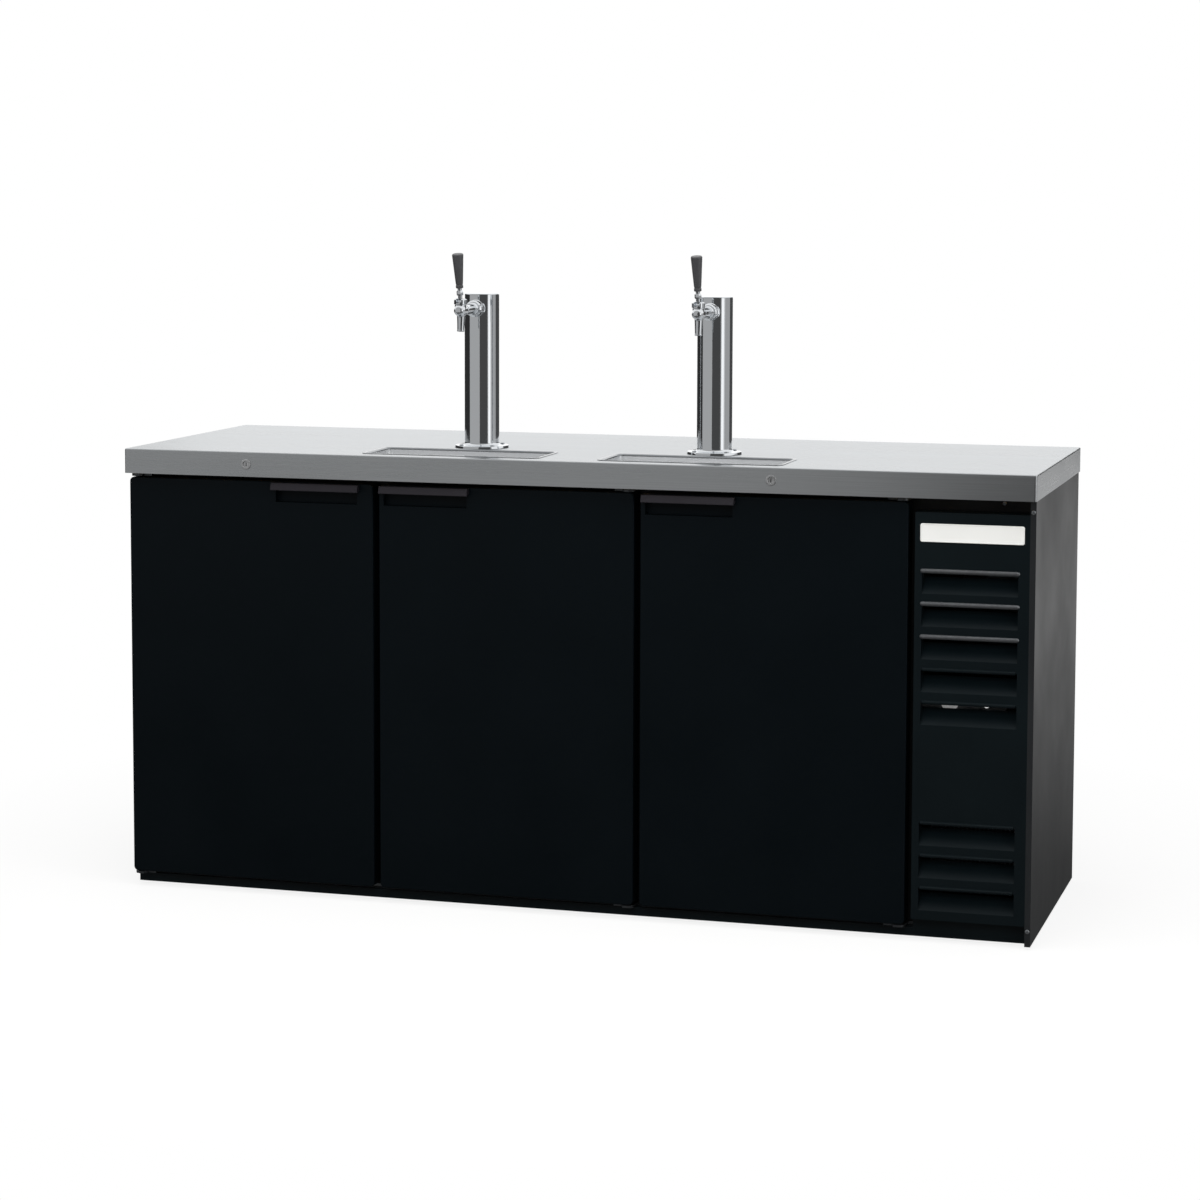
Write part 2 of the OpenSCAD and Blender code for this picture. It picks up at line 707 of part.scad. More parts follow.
module drip_tray(s) translate([s * tower_x, tray_y, 0]) difference() {
    union() {
        translate([0, 0, counter_h]) linear_extrude(pan_t)
            round_rect(tray_w, tray_d, tray_corner_r + tray_rim);
        translate([0, 0, pan_floor]) linear_extrude(tray_h + pan_t / 2)
            round_rect(pan_w, pan_d, tray_corner_r);
        translate([0, 0, nipple_top]) cylinder(r = pipe_r, h = pan_floor - nipple_top + 1);
        translate([0, 0, nipple_top - nipple_len]) cylinder(r = nipple_r, h = nipple_len + 1);
    }
    translate([0, 0, pan_floor + pan_t]) linear_extrude(tray_h + 2)
        round_rect(pan_w - 2 * pan_t, pan_d - 2 * pan_t, tray_corner_r - pan_t);
    translate([0, 0, nipple_top - nipple_len - 1])
        cylinder(r = nipple_r - 2, h = counter_h - nipple_top + nipple_len);
}

grid_w = pan_w - 2 * pan_t - 3;
grid_d = pan_d - 2 * pan_t - 3;
grid_rows = 3;
grid_slot_w = 7;
grid_foot_in = 12;
grid_foot_r = 3;
module drip_grid(s) translate([s * tower_x, tray_y, 0]) {
    pitch = (grid_w - 20) / grid_cols;
    rise = (grid_d - 14) / grid_rows;
    slot_len = rise - 12;
    translate([0, 0, grid_z]) linear_extrude(pan_t) difference() {
        round_rect(grid_w, grid_d, tray_corner_r - pan_t);
        for (i = [0:grid_cols - 1], j = [0:grid_rows - 1])
            translate([(i - (grid_cols - 1) / 2) * pitch, (j - (grid_rows - 1) / 2) * rise]) {
                square([grid_slot_w, slot_len - grid_slot_w], center = true);
                for (k = [-1, 1]) translate([0, k * (slot_len - grid_slot_w) / 2]) circle(grid_slot_w / 2);
            }
    }
    for (i = [-1, 1], j = [-1, 1])
        translate([i * (grid_w / 2 - grid_foot_in), j * (grid_d / 2 - grid_foot_in), pan_floor + pan_t])
            cylinder(r = grid_foot_r, h = grid_foot_h + pan_t / 2);
}

module drip_tray_left() color("#cfd2d4") drip_tray(-1);
module drip_tray_right() color("#cfd2d4") drip_tray(1);
module drip_grid_left() color("#b8bbbe") drip_grid(-1);
module drip_grid_right() color("#b8bbbe") drip_grid(1);

// draft towers

module tower_column(s) difference() {
    translate([s * tower_x, tower_y, 0]) rotate_extrude() polygon([
        [column_r - tube_t, counter_h], [foot_r, counter_h], [foot_r, counter_h + foot_t - 2.5],
        [foot_r - 1.5, counter_h + foot_t], [column_r + 6, counter_h + foot_t],
        [column_r + 2.4, counter_h + foot_t + 2], [column_r + 0.8, counter_h + foot_t + 5.5],
        [column_r, counter_h + foot_t + 10], [column_r, tower_top - cap_h],
        [column_r - tube_t, tower_top - cap_h]]);
    rod_y(s * tower_x, shank_z, tower_y - column_r - 1, tower_y, shank_r + 0.3);
    foot_screw_holes(counter_h - 1, counter_h + foot_t + 1, 2.7);
}

module tower_caps() color("#d9dcdf") for (s = [-1, 1]) translate([s * tower_x, tower_y, tower_top - cap_h]) {
    rotate_extrude() edge_section(column_r, cap_h, 2);
    translate([0, 0, -10]) difference() {
        cylinder(r = column_r - tube_t - 0.1, h = 10.5);
        translate([0, 0, -1]) cylinder(r = column_r - tube_t - 3, h = 10);
    }
}

module tower_screws() color("#b9bcbf") for (s = [-1, 1], a = [45:90:315])
    translate([s * tower_x, tower_y, counter_h + foot_t]) rotate([0, 0, a])
        translate([foot_screw_pcd / 2, 0, 0]) difference() {
            union() {
                cylinder(r = 4.8, h = 1.2);
                translate([0, 0, 1.2]) cylinder(r1 = 4.8, r2 = 3, h = 1.4);
                translate([0, 0, -foot_screw_len]) cylinder(r = 2.4, h = foot_screw_len + 1);
            }
            translate([-0.6, -3.2, 1.6]) cube([1.2, 6.4, 3]);
            translate([-3.2, -0.6, 1.6]) cube([6.4, 1.2, 3]);
        }

// places a faucet's own frame: X sideways, Z forward along the shank, Y up
module faucet_frame(s) translate([s * tower_x, tower_y, shank_z]) rotate([90, 0, 0]) children();

module tap_shanks() color("#d2d5d8") for (s = [-1, 1]) difference() {
    union() {
        faucet_frame(s) {
            translate([0, 0, 6]) cylinder(r = shank_r, h = shank_end - 6);
            translate([0, 0, column_r - 8]) cylinder(r = saddle_r, h = saddle_out - column_r + 6);
            translate([0, 0, saddle_out - 2]) cylinder(r1 = saddle_r, r2 = saddle_r - 4, h = 3);
        }
        translate([s * tower_x, tower_y - elbow_in, shank_z - elbow_drop])
            cylinder(r = elbow_r, h = elbow_drop);
    }
    difference() {
        translate([s * tower_x, tower_y, shank_z - 2 * saddle_r])
            cylinder(r = column_r + run_fit, h = 4 * saddle_r);
        faucet_frame(s) cylinder(r = shank_r + 0.01, h = column_r + 4);
        translate([s * tower_x, tower_y - elbow_in, shank_z - elbow_drop - 3])
            cylinder(r = elbow_r + 0.01, h = elbow_drop + 3);
    }
    faucet_frame(s) translate([0, 0, elbow_in]) cylinder(r = 4, h = shank_end);
    translate([s * tower_x, tower_y - elbow_in, shank_z - elbow_drop - 1])
        cylinder(r = 3.2, h = elbow_drop + 1);
}

module coupling_nuts() color("#c2c5c8") for (s = [-1, 1]) faucet_frame(s) difference() {
    translate([0, 0, nut_end - nut_len]) union() {
        cylinder(r = nut_r, h = nut_len - 3);
        translate([0, 0, nut_len - 3]) cylinder(r1 = nut_r, r2 = nut_r - 3, h = 3);
    }
    translate([0, 0, nut_end - nut_len - 1]) cylinder(r = shank_r + run_fit, h = nut_len + 2);
    for (a = [0:60:300]) rotate([0, 0, a]) translate([0, nut_r + 2, nut_end - nut_len / 2])
        rotate([90, 0, 0]) cylinder(r = 2.5, h = 6);
}

module faucet_body(s) faucet_frame(s) difference() {
    union() {
        rotate_extrude() polygon([[0, tail_start], [shank_r - 0.1, tail_start], [shank_r - 0.1, nut_end + 1],
            [13.5, nut_end + 2], [13.5, nut_end + 6], [11.5, nut_end + 9], [11.5, reach - 24],
            [barrel_r, reach - 14], [barrel_r, reach + 6], [10.5, reach + 12],
            [7, reach + 15.5], [0, reach + 16.5]]);
        translate([0, 0, reach]) rotate([-90, 0, 0]) cylinder(r = 12.5, h = boss_top);
        translate([0, 0, reach - 6]) rotate([90 - spout_lean, 0, 0])
            cylinder(r1 = 9.5, r2 = 7.5, h = spout_drop + 0.5);
    }
    // inlet chamber, shaft guide, lever well and spout bore
    translate([0, 0, tail_start - 1]) cylinder(r = chamber_r, h = valve_at - tail_start + 5);
    translate([0, 0, valve_at]) cylinder(r = shaft_r + run_fit, h = reach + 9 - valve_at);
    translate([0, 0, reach - 4]) rotate([-90, 0, 0]) translate([-3.2, -12, 0]) cube([6.4, 24, 60]);
    translate([0, 0, reach]) rotate([-90, 0, 0]) translate([0, 0, pivot_up - ball_r - 1])
        cylinder(r = 10, h = 10);
    translate([0, 0, reach - 6]) rotate([90 - spout_lean, 0, 0]) cylinder(r = 5, h = spout_drop + 20);
}

module faucet_bonnets() color("#c2c5c8") for (s = [-1, 1]) faucet_frame(s)
    translate([0, boss_top, reach]) rotate([-90, 0, 0]) difference() {
        union() {
            cylinder(r = bonnet_r, h = 9.5);
            translate([0, 0, 9.5]) cylinder(r1 = bonnet_r, r2 = bonnet_r - 3, h = 2.5);
        }
        translate([0, 0, -1]) cylinder(r = ball_r + 0.6, h = 20);
        translate([-6, -22, 2.5]) cube([12, 22, 20]);
    }

// places the lever's frame: origin at the pivot, Z up along the leaning lever
module lever_frame(s)
    translate([s * tower_x, tower_y - reach, pivot_z]) rotate([lever_lean, 0, 0]) children();

module faucet_lever(s) lever_frame(s) {
    sphere(r = ball_r);
    cylinder(r = 4.6, h = handle_start + 14);
    translate([0, 0, 17]) cylinder(r = 7.5, h = 8);
    translate([0, 0, 25]) cylinder(r1 = 7.5, r2 = 5.2, h = 3);
    translate([0, 0, -finger_len]) {
        cylinder(r = finger_r, h = finger_len);
        sphere(r = finger_r);
    }
}

module tap_handle(s) lever_frame(s) difference() {
    rotate_extrude() {
        polygon([[0, handle_start], [handle_low_r, handle_start], [handle_low_r, handle_start + 4],
            [handle_low_r - 0.8, handle_start + 6], [handle_low_r - 0.8, handle_start + 8],
            [handle_low_r, handle_start + 11], [handle_top_r, handle_start + handle_len - 4],
            [handle_top_r - 0.4, handle_start + handle_len - 2],
            [handle_top_r - 1.6, handle_start + handle_len - 0.6],
            [handle_top_r - 3.4, handle_start + handle_len], [0, handle_start + handle_len]]);
    }
    translate([0, 0, handle_start - 1]) cylinder(r = 4.6 + run_fit, h = 15.5);
}

module valve_shaft(s) faucet_frame(s) difference() {
    union() {
        translate([0, 0, valve_at]) cylinder(r = shaft_r, h = reach + 8 - valve_at);
        translate([0, 0, valve_at]) cylinder(r = chamber_r - 0.6, h = 4);
    }
    // slot for the lever's finger, longer to the front for its lean
    translate([-finger_r - 0.3, -finger_r - 0.5, tip_u - finger_r - 0.5])
        cube([2 * finger_r + 0.6, 20, 2 * finger_r + 5.4]);
}

module tower_left_column() color("#d9dcdf") tower_column(-1);
module tower_right_column() color("#d9dcdf") tower_column(1);
module faucet_left_body() color("#c2c5c8") faucet_body(-1);
module faucet_right_body() color("#c2c5c8") faucet_body(1);
module faucet_left_lever() color("#b0b3b6") faucet_lever(-1);
module faucet_right_lever() color("#b0b3b6") faucet_lever(1);
module tap_handle_left() color("#26272a") tap_handle(-1);
module tap_handle_right() color("#26272a") tap_handle(1);
module valve_shaft_left() color("#b0894a") valve_shaft(-1);
module valve_shaft_right() color("#b0894a") valve_shaft(1);

// cooling unit

module compressor() color("#1b1c1e") translate([mach_cx, comp_y, base_top]) {
    for (i = [-1, 1], j = [-1, 1])
        translate([i * (comp_plate_w / 2 - comp_foot_in), j * (comp_plate_d / 2 - comp_foot_in), 0])
            cylinder(r = 11, h = 16);
    translate([-comp_plate_w / 2, -comp_plate_d / 2, 16]) cube([comp_plate_w, comp_plate_d, 4]);
    translate([0, 0, 20]) rotate_extrude() polygon([
        [0, 0], [comp_r - 12, 0], [comp_r, 14], [comp_r, comp_h * 0.45],
        [comp_r + 3, comp_h * 0.45], [comp_r + 3, comp_h * 0.45 + 6], [comp_r, comp_h * 0.45 + 6],
        [comp_r, comp_h - 40], [comp_r - 10, comp_h - 16], [comp_r - 32, comp_h - 3], [0, comp_h]]);
    translate([-24, -comp_r - 22, 60]) cube([48, 30, 52]);
    translate([40, comp_r - 36, 20 + comp_h - 30]) cylinder(r = 5, h = 60);
    translate([-40, comp_r - 36, 20 + comp_h - 30]) cylinder(r = 4, h = 50);
}

fins = 22;
tube_rows = 6;
module condenser_coil() color("#9da1a5") {
    for (x = [cond_x0 - 4, cond_x0 + cond_w + 2])
        box(x, x + sheet, cond_y0, cond_y0 + cond_d, base_top, cond_z0 + cond_h);
    for (i = [0:fins - 1]) {
        x = cond_x0 + i * (cond_w - 1.2) / (fins - 1);
        box(x, x + 1.2, cond_y0, cond_y0 + cond_d, cond_z0, cond_z0 + cond_h);
    }
    for (i = [0:tube_rows - 1], y = [cond_y0 + cond_d * 0.3, cond_y0 + cond_d * 0.7])
        rod_x(y, cond_z0 + (i + 0.5) * cond_h / tube_rows, cond_x0 - 12, cond_x0 + cond_w + 10, 4.5);
}

module condenser_shroud() color("#5a5c5f") difference() {
    box(cond_x0, cond_x0 + cond_w, cond_y0 + cond_d, shroud_y1, cond_z0, cond_z0 + cond_h);
    box(cond_x0 + sheet, cond_x0 + cond_w - sheet, cond_y0 + cond_d - 1, shroud_y1 - sheet,
        cond_z0 + sheet, cond_z0 + cond_h - sheet);
    rod_y(mach_cx, cond_cz, shroud_y1 - sheet - 1, shroud_y1 + 1, fan_r + 5);
}

motor_y0 = fan_y0 + fan_h + 4;
evap_motor_x0 = evap_x0 + fan_inset + fan_h + 4;
module fan_motors() color("#77797c") {
    rod_y(mach_cx, cond_cz, motor_y0, motor_y0 + motor_len, motor_r);
    rod_y(mach_cx, cond_cz, fan_y0 + 5, motor_y0 + 1, spindle_r);
    box(mach_cx - 10, mach_cx + 10, motor_y0 + 8, motor_y0 + 12, cond_z0, cond_z0 + cond_h);
    for (z = [cond_z0, cond_z0 + cond_h - 4])
        box(mach_cx - 10, mach_cx + 10, shroud_y1, motor_y0 + 12, z, z + 4);
    rod_x(evap_cy, evap_cz, evap_motor_x0, evap_motor_x0 + motor_len - 14, motor_r);
    rod_x(evap_cy, evap_cz, evap_x0 + 19, evap_motor_x0 + 1, spindle_r);
    box(evap_motor_x0 + 6, evap_motor_x0 + 10, evap_cy - 10, evap_cy + 10,
        evap_z0 + sheet, evap_z0 + evap_h - sheet);
}

module fan_blades(h) {
    difference() {
        cylinder(r = 20, h = h);
        translate([0, 0, -1]) cylinder(r = spindle_r + run_fit, h = h - 3);
    }
    intersection() {
        for (a = [0:72:288]) rotate([0, 0, a]) translate([14, 0, h / 2]) rotate([32, 0, 0])
            translate([0, -22, -1]) cube([fan_r, 44, 2]);
        cylinder(r = fan_r, h = h);
    }
}

module condenser_fan() color("#2c2e30")
    translate([mach_cx, fan_y0 + fan_h, cond_cz]) rotate([90, 0, 0]) rotate([0, 0, 10]) fan_blades(fan_h);

module evaporator_fan() color("#e8e8e6")
    translate([evap_x0 + fan_inset + fan_h, evap_cy, evap_cz]) rotate([0, -90, 0]) fan_blades(fan_h);

evap_slot_w = 24;
evap_slot_h = 60;
evap_slot_step = 36;
module evaporator_cover() color("#e6e7e6") difference() {
    box(evap_x0, tank_x1 - sheet, evap_cy - evap_w / 2, evap_cy + evap_w / 2, evap_z0, evap_z0 + evap_h);
    box(evap_x0 + sheet, tank_x1, evap_cy - evap_w / 2 + sheet, evap_cy + evap_w / 2 - sheet,
        evap_z0 + sheet, evap_z0 + evap_h - sheet);
    rod_x(evap_cy, evap_cz, evap_x0 - 1, evap_x0 + sheet + 1, fan_r + 5);
    for (i = [0:9]) {
        slot_y = evap_cy - evap_w / 2 + evap_slot_w + i * evap_slot_step;
        box(evap_x0 - 1, evap_x0 + sheet + 1, slot_y, slot_y + evap_slot_w,
            evap_z0 + evap_slot_w, evap_z0 + evap_slot_w + evap_slot_h);
    }
}

evap_coil_x0 = evap_motor_x0 + motor_len - 8;
module evaporator_coil() color("#aeb2b6") {
    for (i = [0:17]) {
        y = evap_cy - evap_w / 2 + 20 + i * (evap_w - 42) / 17;
        box(evap_coil_x0, tank_x1 - sheet - 2, y, y + 1.2, evap_z0 + 20, evap_z0 + evap_h - 20);
    }
    for (y = [evap_cy - evap_w / 2 + 14, evap_cy + evap_w / 2 - 18])
        box(evap_coil_x0, tank_x1 - sheet, y, y + 3, evap_z0 + sheet, evap_z0 + evap_h - 12);
    for (i = [0:5]) translate([(evap_coil_x0 + tank_x1 - sheet) / 2, evap_cy - evap_w / 2 + 12,
        evap_z0 + 50 + i * 54]) rotate([-90, 0, 0]) cylinder(r = 4.5, h = evap_w - 24);
}

module control_box() color("#3b3d40") {
    box(box_x1, box_x1 + ctrl_w, ctrl_y0, ctrl_y0 + ctrl_d, ctrl_z0, ctrl_z0 + ctrl_h);
    rod_y(knob_x, knob_z, ctrl_y0 - 13, ctrl_y0 + 1, 3);
    box(knob_x + switch_out, knob_x + switch_out + switch_w, ctrl_y0 - 4, ctrl_y0 + 1,
        knob_z - switch_h / 2, knob_z + switch_h / 2);
}

module thermostat_knob() color("#e9e9e6") difference() {
    union() {
        rod_y(knob_x, knob_z, ctrl_y0 - 15, ctrl_y0 - 1, 15);
        rod_y(knob_x, knob_z, ctrl_y0 - 5, ctrl_y0 - 1, 18);
        box(knob_x - 1.5, knob_x + 1.5, ctrl_y0 - 16.5, ctrl_y0 - 14, knob_z, knob_z + 14);
    }
    rod_y(knob_x, knob_z, ctrl_y0 - 13.5, ctrl_y0, 3 + run_fit);
}

base_pan();
levelling_feet();
kick_plate();
left_side_panel();
right_side_panel();
rear_panel();
insulation();
cabinet_liner();
face_frame();
machine_frame();
countertop();
counter_core();
grille_panel();
nameplate();
panel_screws();
hinge_brackets();
lock_barrels();
drip_tray_left();
drip_tray_right();
tower_left_column();
tower_right_column();
tower_caps();
tower_screws();
tap_shanks();
coupling_nuts();
faucet_left_body();
faucet_right_body();
faucet_bonnets();
compressor();
condenser_coil();
condenser_shroud();
fan_motors();
control_box();
evaporator_coil();
evaporator_cover();
door_left_shell();
door_left_liner();
door_left_gasket();
door_left_pull();
door_middle_shell();
door_middle_liner();
door_middle_gasket();
door_middle_pull();
door_right_shell();
door_right_liner();
door_right_gasket();
door_right_pull();
lock_plug_left();
lock_plug_right();
faucet_left_lever();
faucet_right_lever();
tap_handle_left();
tap_handle_right();
valve_shaft_left();
valve_shaft_right();
drip_grid_left();
drip_grid_right();
condenser_fan();
evaporator_fan();
thermostat_knob();
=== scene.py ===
"""Draft beer cooler: finishes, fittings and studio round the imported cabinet.
Metres, floor at Z 0, front towards -Y."""
import json
import math

import bmesh
import bpy
from mathutils import Matrix, Vector


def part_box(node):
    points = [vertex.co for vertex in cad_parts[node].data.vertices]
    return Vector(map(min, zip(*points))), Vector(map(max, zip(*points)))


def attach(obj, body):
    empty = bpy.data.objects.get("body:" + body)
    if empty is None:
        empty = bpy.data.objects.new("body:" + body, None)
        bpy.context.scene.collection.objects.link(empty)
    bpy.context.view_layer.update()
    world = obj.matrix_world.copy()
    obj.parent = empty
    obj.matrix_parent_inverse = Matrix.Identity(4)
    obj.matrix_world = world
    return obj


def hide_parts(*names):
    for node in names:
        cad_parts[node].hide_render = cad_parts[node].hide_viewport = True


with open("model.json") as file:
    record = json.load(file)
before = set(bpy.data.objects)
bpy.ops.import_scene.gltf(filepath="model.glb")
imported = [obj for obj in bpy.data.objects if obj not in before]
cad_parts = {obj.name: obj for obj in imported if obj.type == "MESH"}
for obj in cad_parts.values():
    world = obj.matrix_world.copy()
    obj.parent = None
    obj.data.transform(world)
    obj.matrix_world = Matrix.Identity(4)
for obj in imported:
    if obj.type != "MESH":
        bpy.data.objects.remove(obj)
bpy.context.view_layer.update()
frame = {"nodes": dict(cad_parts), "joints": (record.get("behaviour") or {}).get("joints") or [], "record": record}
scene = bpy.context.scene
MM = 0.001
SIDES = ("left", "right")
DOORS = ("left", "middle", "right")

# Camera at the photograph's viewing angle: a long lens right of centre, looking slightly down. The
# photograph's uprights stay nearly parallel, as the lower part of a wider picture's do, which a drop of the
# lens gives.
LENS_MM = 91.731
SENSOR_MM = 36
LENS_DROP = -0.125
CAMERA_AT = (1.8676, -6.4735, 1.5748)
YAW, PITCH, ROLL = (math.radians(angle) for angle in (16.201, 5.087, 0.152))
camera = bpy.data.objects.new("camera", bpy.data.cameras.new("camera"))
camera.data.lens = LENS_MM
camera.data.shift_y = LENS_DROP
camera.data.sensor_width = SENSOR_MM
camera.matrix_world = (Matrix.Translation(CAMERA_AT) @ Matrix.Rotation(YAW, 4, "Z")
                       @ Matrix.Rotation(math.pi / 2 - PITCH, 4, "X") @ Matrix.Rotation(ROLL, 4, "Z"))
scene.collection.objects.link(camera)
scene.camera = camera
scene.view_settings.view_transform = "Standard"


def linear(hex_colour):
    """An sRGB hex colour as the linear RGBA that shaders take."""
    parts = [int(hex_colour[i:i + 2], 16) / 255 for i in (1, 3, 5)]
    return tuple(c / 12.92 if c <= 0.04045 else ((c + 0.055) / 1.055) ** 2.4 for c in parts) + (1.0,)


def per(size_mm):
    """A pattern's scale, per metre, from the real size of one feature."""
    return 1 / (size_mm * MM)


def fill(tree, node, inputs):
    """Sets a node's inputs to values, or links them to a socket or to another node's first output."""
    for key, value in inputs.items():
        source = value.outputs[0] if isinstance(value, bpy.types.Node) else value
        if isinstance(source, bpy.types.NodeSocket):
            tree.links.new(source, node.inputs[key])
        else:
            node.inputs[key].default_value = source


def add(tree, kind, inputs=(), **settings):
    """One node with its properties and inputs. Mix's sockets go by number: 4, 5 and output 1 are vectors, 6, 7
    and output 2 are colours. So do Map Range's: 1 to 4 are From Min, From Max, To Min and To Max."""
    node = tree.nodes.new(kind)
    for key, value in settings.items():
        setattr(node, key, value)
    fill(tree, node, dict(inputs))
    return node


def material(name, constants):
    """A material of one Principled shader with its constant sockets set. Returns it with its tree, its shader
    and its texture coordinates."""
    made = bpy.data.materials.new(name)
    made.use_nodes = True
    tree = made.node_tree
    shader = tree.nodes["Principled BSDF"]
    fill(tree, shader, constants)
    return made, tree, shader, add(tree, "ShaderNodeTexCoord").outputs


# Finishes

def brushed_stainless(name, dark, light, rough_range, metal=1.0):
    """304 stainless sheet, No. 4 brushed: long scratches that draw every reflection out across the grain, in
    swathes as wide as the polishing belt's passes. The real lines are about 0.2 mm apart; they are drawn
    2.5 mm apart, so that they show."""
    made, tree, shader, place = material(name, {"Metallic": metal, "Anisotropic": 0.55})
    length, gap = per(260), per(2.5)
    span = {1: 0.65, 2: 1.25}
    normal = add(tree, "ShaderNodeSeparateXYZ", {0: place["Normal"]}).outputs
    level = add(tree, "ShaderNodeMath", {0: normal["Z"]}, operation="ABSOLUTE")
    end_on = add(tree, "ShaderNodeMath", {0: normal["X"]}, operation="ABSOLUTE")
    at_end = add(tree, "ShaderNodeMath", {0: end_on, 1: 0.7}, operation="GREATER_THAN")
    along = add(tree, "ShaderNodeMapping", {"Vector": place["Object"], "Scale": (length, gap, gap)})
    across = add(tree, "ShaderNodeMapping", {"Vector": place["Object"], "Scale": (gap, length, gap)})
    grain = add(tree, "ShaderNodeMix", {0: at_end, 4: along, 5: across}, data_type="VECTOR").outputs[1]
    lines = add(tree, "ShaderNodeTexNoise", {"Vector": grain, "Scale": 1.0, "Detail": 4.0, "Roughness": 0.6})
    passes = add(tree, "ShaderNodeMapping",
                 {"Vector": place["Object"], "Scale": (per(1100), per(90), per(90))})
    swathes = add(tree, "ShaderNodeTexNoise", {"Vector": passes, "Scale": 1.0, "Detail": 2.0})
    both = add(tree, "ShaderNodeMath", {0: swathes, 1: 0.9, 2: lines}, operation="MULTIPLY_ADD")
    share = add(tree, "ShaderNodeMapRange", {0: both, **span})
    tone = add(tree, "ShaderNodeMix", {0: share, 6: linear(dark), 7: linear(light)}, data_type="RGBA")
    rough = add(tree, "ShaderNodeMapRange", {0: both, **span, 3: rough_range[0], 4: rough_range[1]})
    stroke = add(tree, "ShaderNodeBump", {"Strength": 0.06, "Distance": 0.2 * MM, "Height": lines})
    upright = add(tree, "ShaderNodeCombineXYZ", {"Z": 1.0})
    deep = add(tree, "ShaderNodeCombineXYZ", {"Y": 1.0})
    spread = add(tree, "ShaderNodeMix", {0: level, 4: upright, 5: deep}, data_type="VECTOR")
    fill(tree, shader, {"Base Color": tone.outputs[2], "Roughness": rough, "Normal": stroke,
                        "Tangent": spread.outputs[1]})
    return made


def mirror_chrome():
    """Polished chrome plate on brass: a clear mirror, very slightly hazed by wiping marks round the tube."""
    made, tree, shader, place = material("polished_chrome_plate",
                                         {"Metallic": 1.0, "Base Color": linear("#dfe2e5")})
    wiped = add(tree, "ShaderNodeMapping", {"Vector": place["Object"], "Scale": (per(30), per(30), per(9))})
    haze = add(tree, "ShaderNodeTexNoise", {"Vector": wiped, "Scale": 1.0, "Detail": 3.0})
    rough = add(tree, "ShaderNodeMapRange", {0: haze, 1: 0.4, 2: 0.75, 3: 0.045, 4: 0.1})
    fill(tree, shader, {"Roughness": rough})
    return made


def coated_steel(name, dark, light, rough_range, grain_mm, grain_depth, sheen_level):
    """Steel sheet under a vinyl or enamel coat: a fine leathery pebble, softly clouded gloss and rounded
    edges. The pebble of the real coat is about 0.5 mm; it is drawn coarser, so that it shows."""
    made, tree, shader, place = material(name, {"Specular IOR Level": sheen_level})
    pebble = add(tree, "ShaderNodeTexVoronoi", {"Vector": place["Object"], "Scale": per(grain_mm)},
                 feature="SMOOTH_F1")
    cloud = add(tree, "ShaderNodeTexNoise", {"Vector": place["Object"], "Scale": per(230), "Detail": 4.0})
    tone = add(tree, "ShaderNodeMix", {0: cloud, 6: linear(dark), 7: linear(light)}, data_type="RGBA")
    rough = add(tree, "ShaderNodeMapRange", {0: cloud, 1: 0.3, 2: 0.7, 3: rough_range[0], 4: rough_range[1]})
    edge = add(tree, "ShaderNodeBevel", {"Radius": 0.8 * MM}, samples=4)
    bump = add(tree, "ShaderNodeBump",
               {"Strength": grain_depth, "Distance": 0.3 * MM, "Height": pebble, "Normal": edge})
    fill(tree, shader, {"Base Color": tone.outputs[2], "Roughness": rough, "Normal": bump})
    return made


def moulded(name, dark, light, roughness, grain_mm, grain_depth, sheen_level=0.5, glow=0.0):
    """Moulded plastic or rubber: one colour with a faint flow mottle, and a spark-eroded grain in its gloss.
    A glow, where given, is painted light: the part shines with no lamp in it."""
    made, tree, shader, place = material(name, {"Specular IOR Level": sheen_level, "Emission Strength": glow})
    flow = add(tree, "ShaderNodeTexNoise", {"Vector": place["Object"], "Scale": per(60), "Detail": 3.0})
    grain = add(tree, "ShaderNodeTexNoise",
                {"Vector": place["Object"], "Scale": per(grain_mm), "Detail": 2.0})
    tone = add(tree, "ShaderNodeMix", {0: flow, 6: linear(dark), 7: linear(light)}, data_type="RGBA")
    rough = add(tree, "ShaderNodeMapRange",
                {0: flow, 1: 0.3, 2: 0.7, 3: roughness * 0.85, 4: roughness * 1.15})
    edge = add(tree, "ShaderNodeBevel", {"Radius": 0.5 * MM}, samples=4)
    bump = add(tree, "ShaderNodeBump",
               {"Strength": grain_depth, "Distance": 0.1 * MM, "Height": grain, "Normal": edge})
    fill(tree, shader, {"Base Color": tone.outputs[2], "Roughness": rough, "Normal": bump})
    return made


def plated_steel(name, dark, light, roughness):
    """Plated, cast or rolled metal: grey with small mottled patches of brighter and duller plating."""
    made, tree, shader, place = material(name, {"Metallic": 1.0})
    patch = add(tree, "ShaderNodeTexNoise", {"Vector": place["Object"], "Scale": per(7), "Detail": 3.0})
    tone = add(tree, "ShaderNodeMix", {0: patch, 6: linear(dark), 7: linear(light)}, data_type="RGBA")
    rough = add(tree, "ShaderNodeMapRange",
                {0: patch, 1: 0.3, 2: 0.7, 3: roughness * 1.25, 4: roughness * 0.8})
    edge = add(tree, "ShaderNodeBevel", {"Radius": 0.4 * MM}, samples=4)
    fill(tree, shader, {"Base Color": tone.outputs[2], "Roughness": rough, "Normal": edge})
    return made


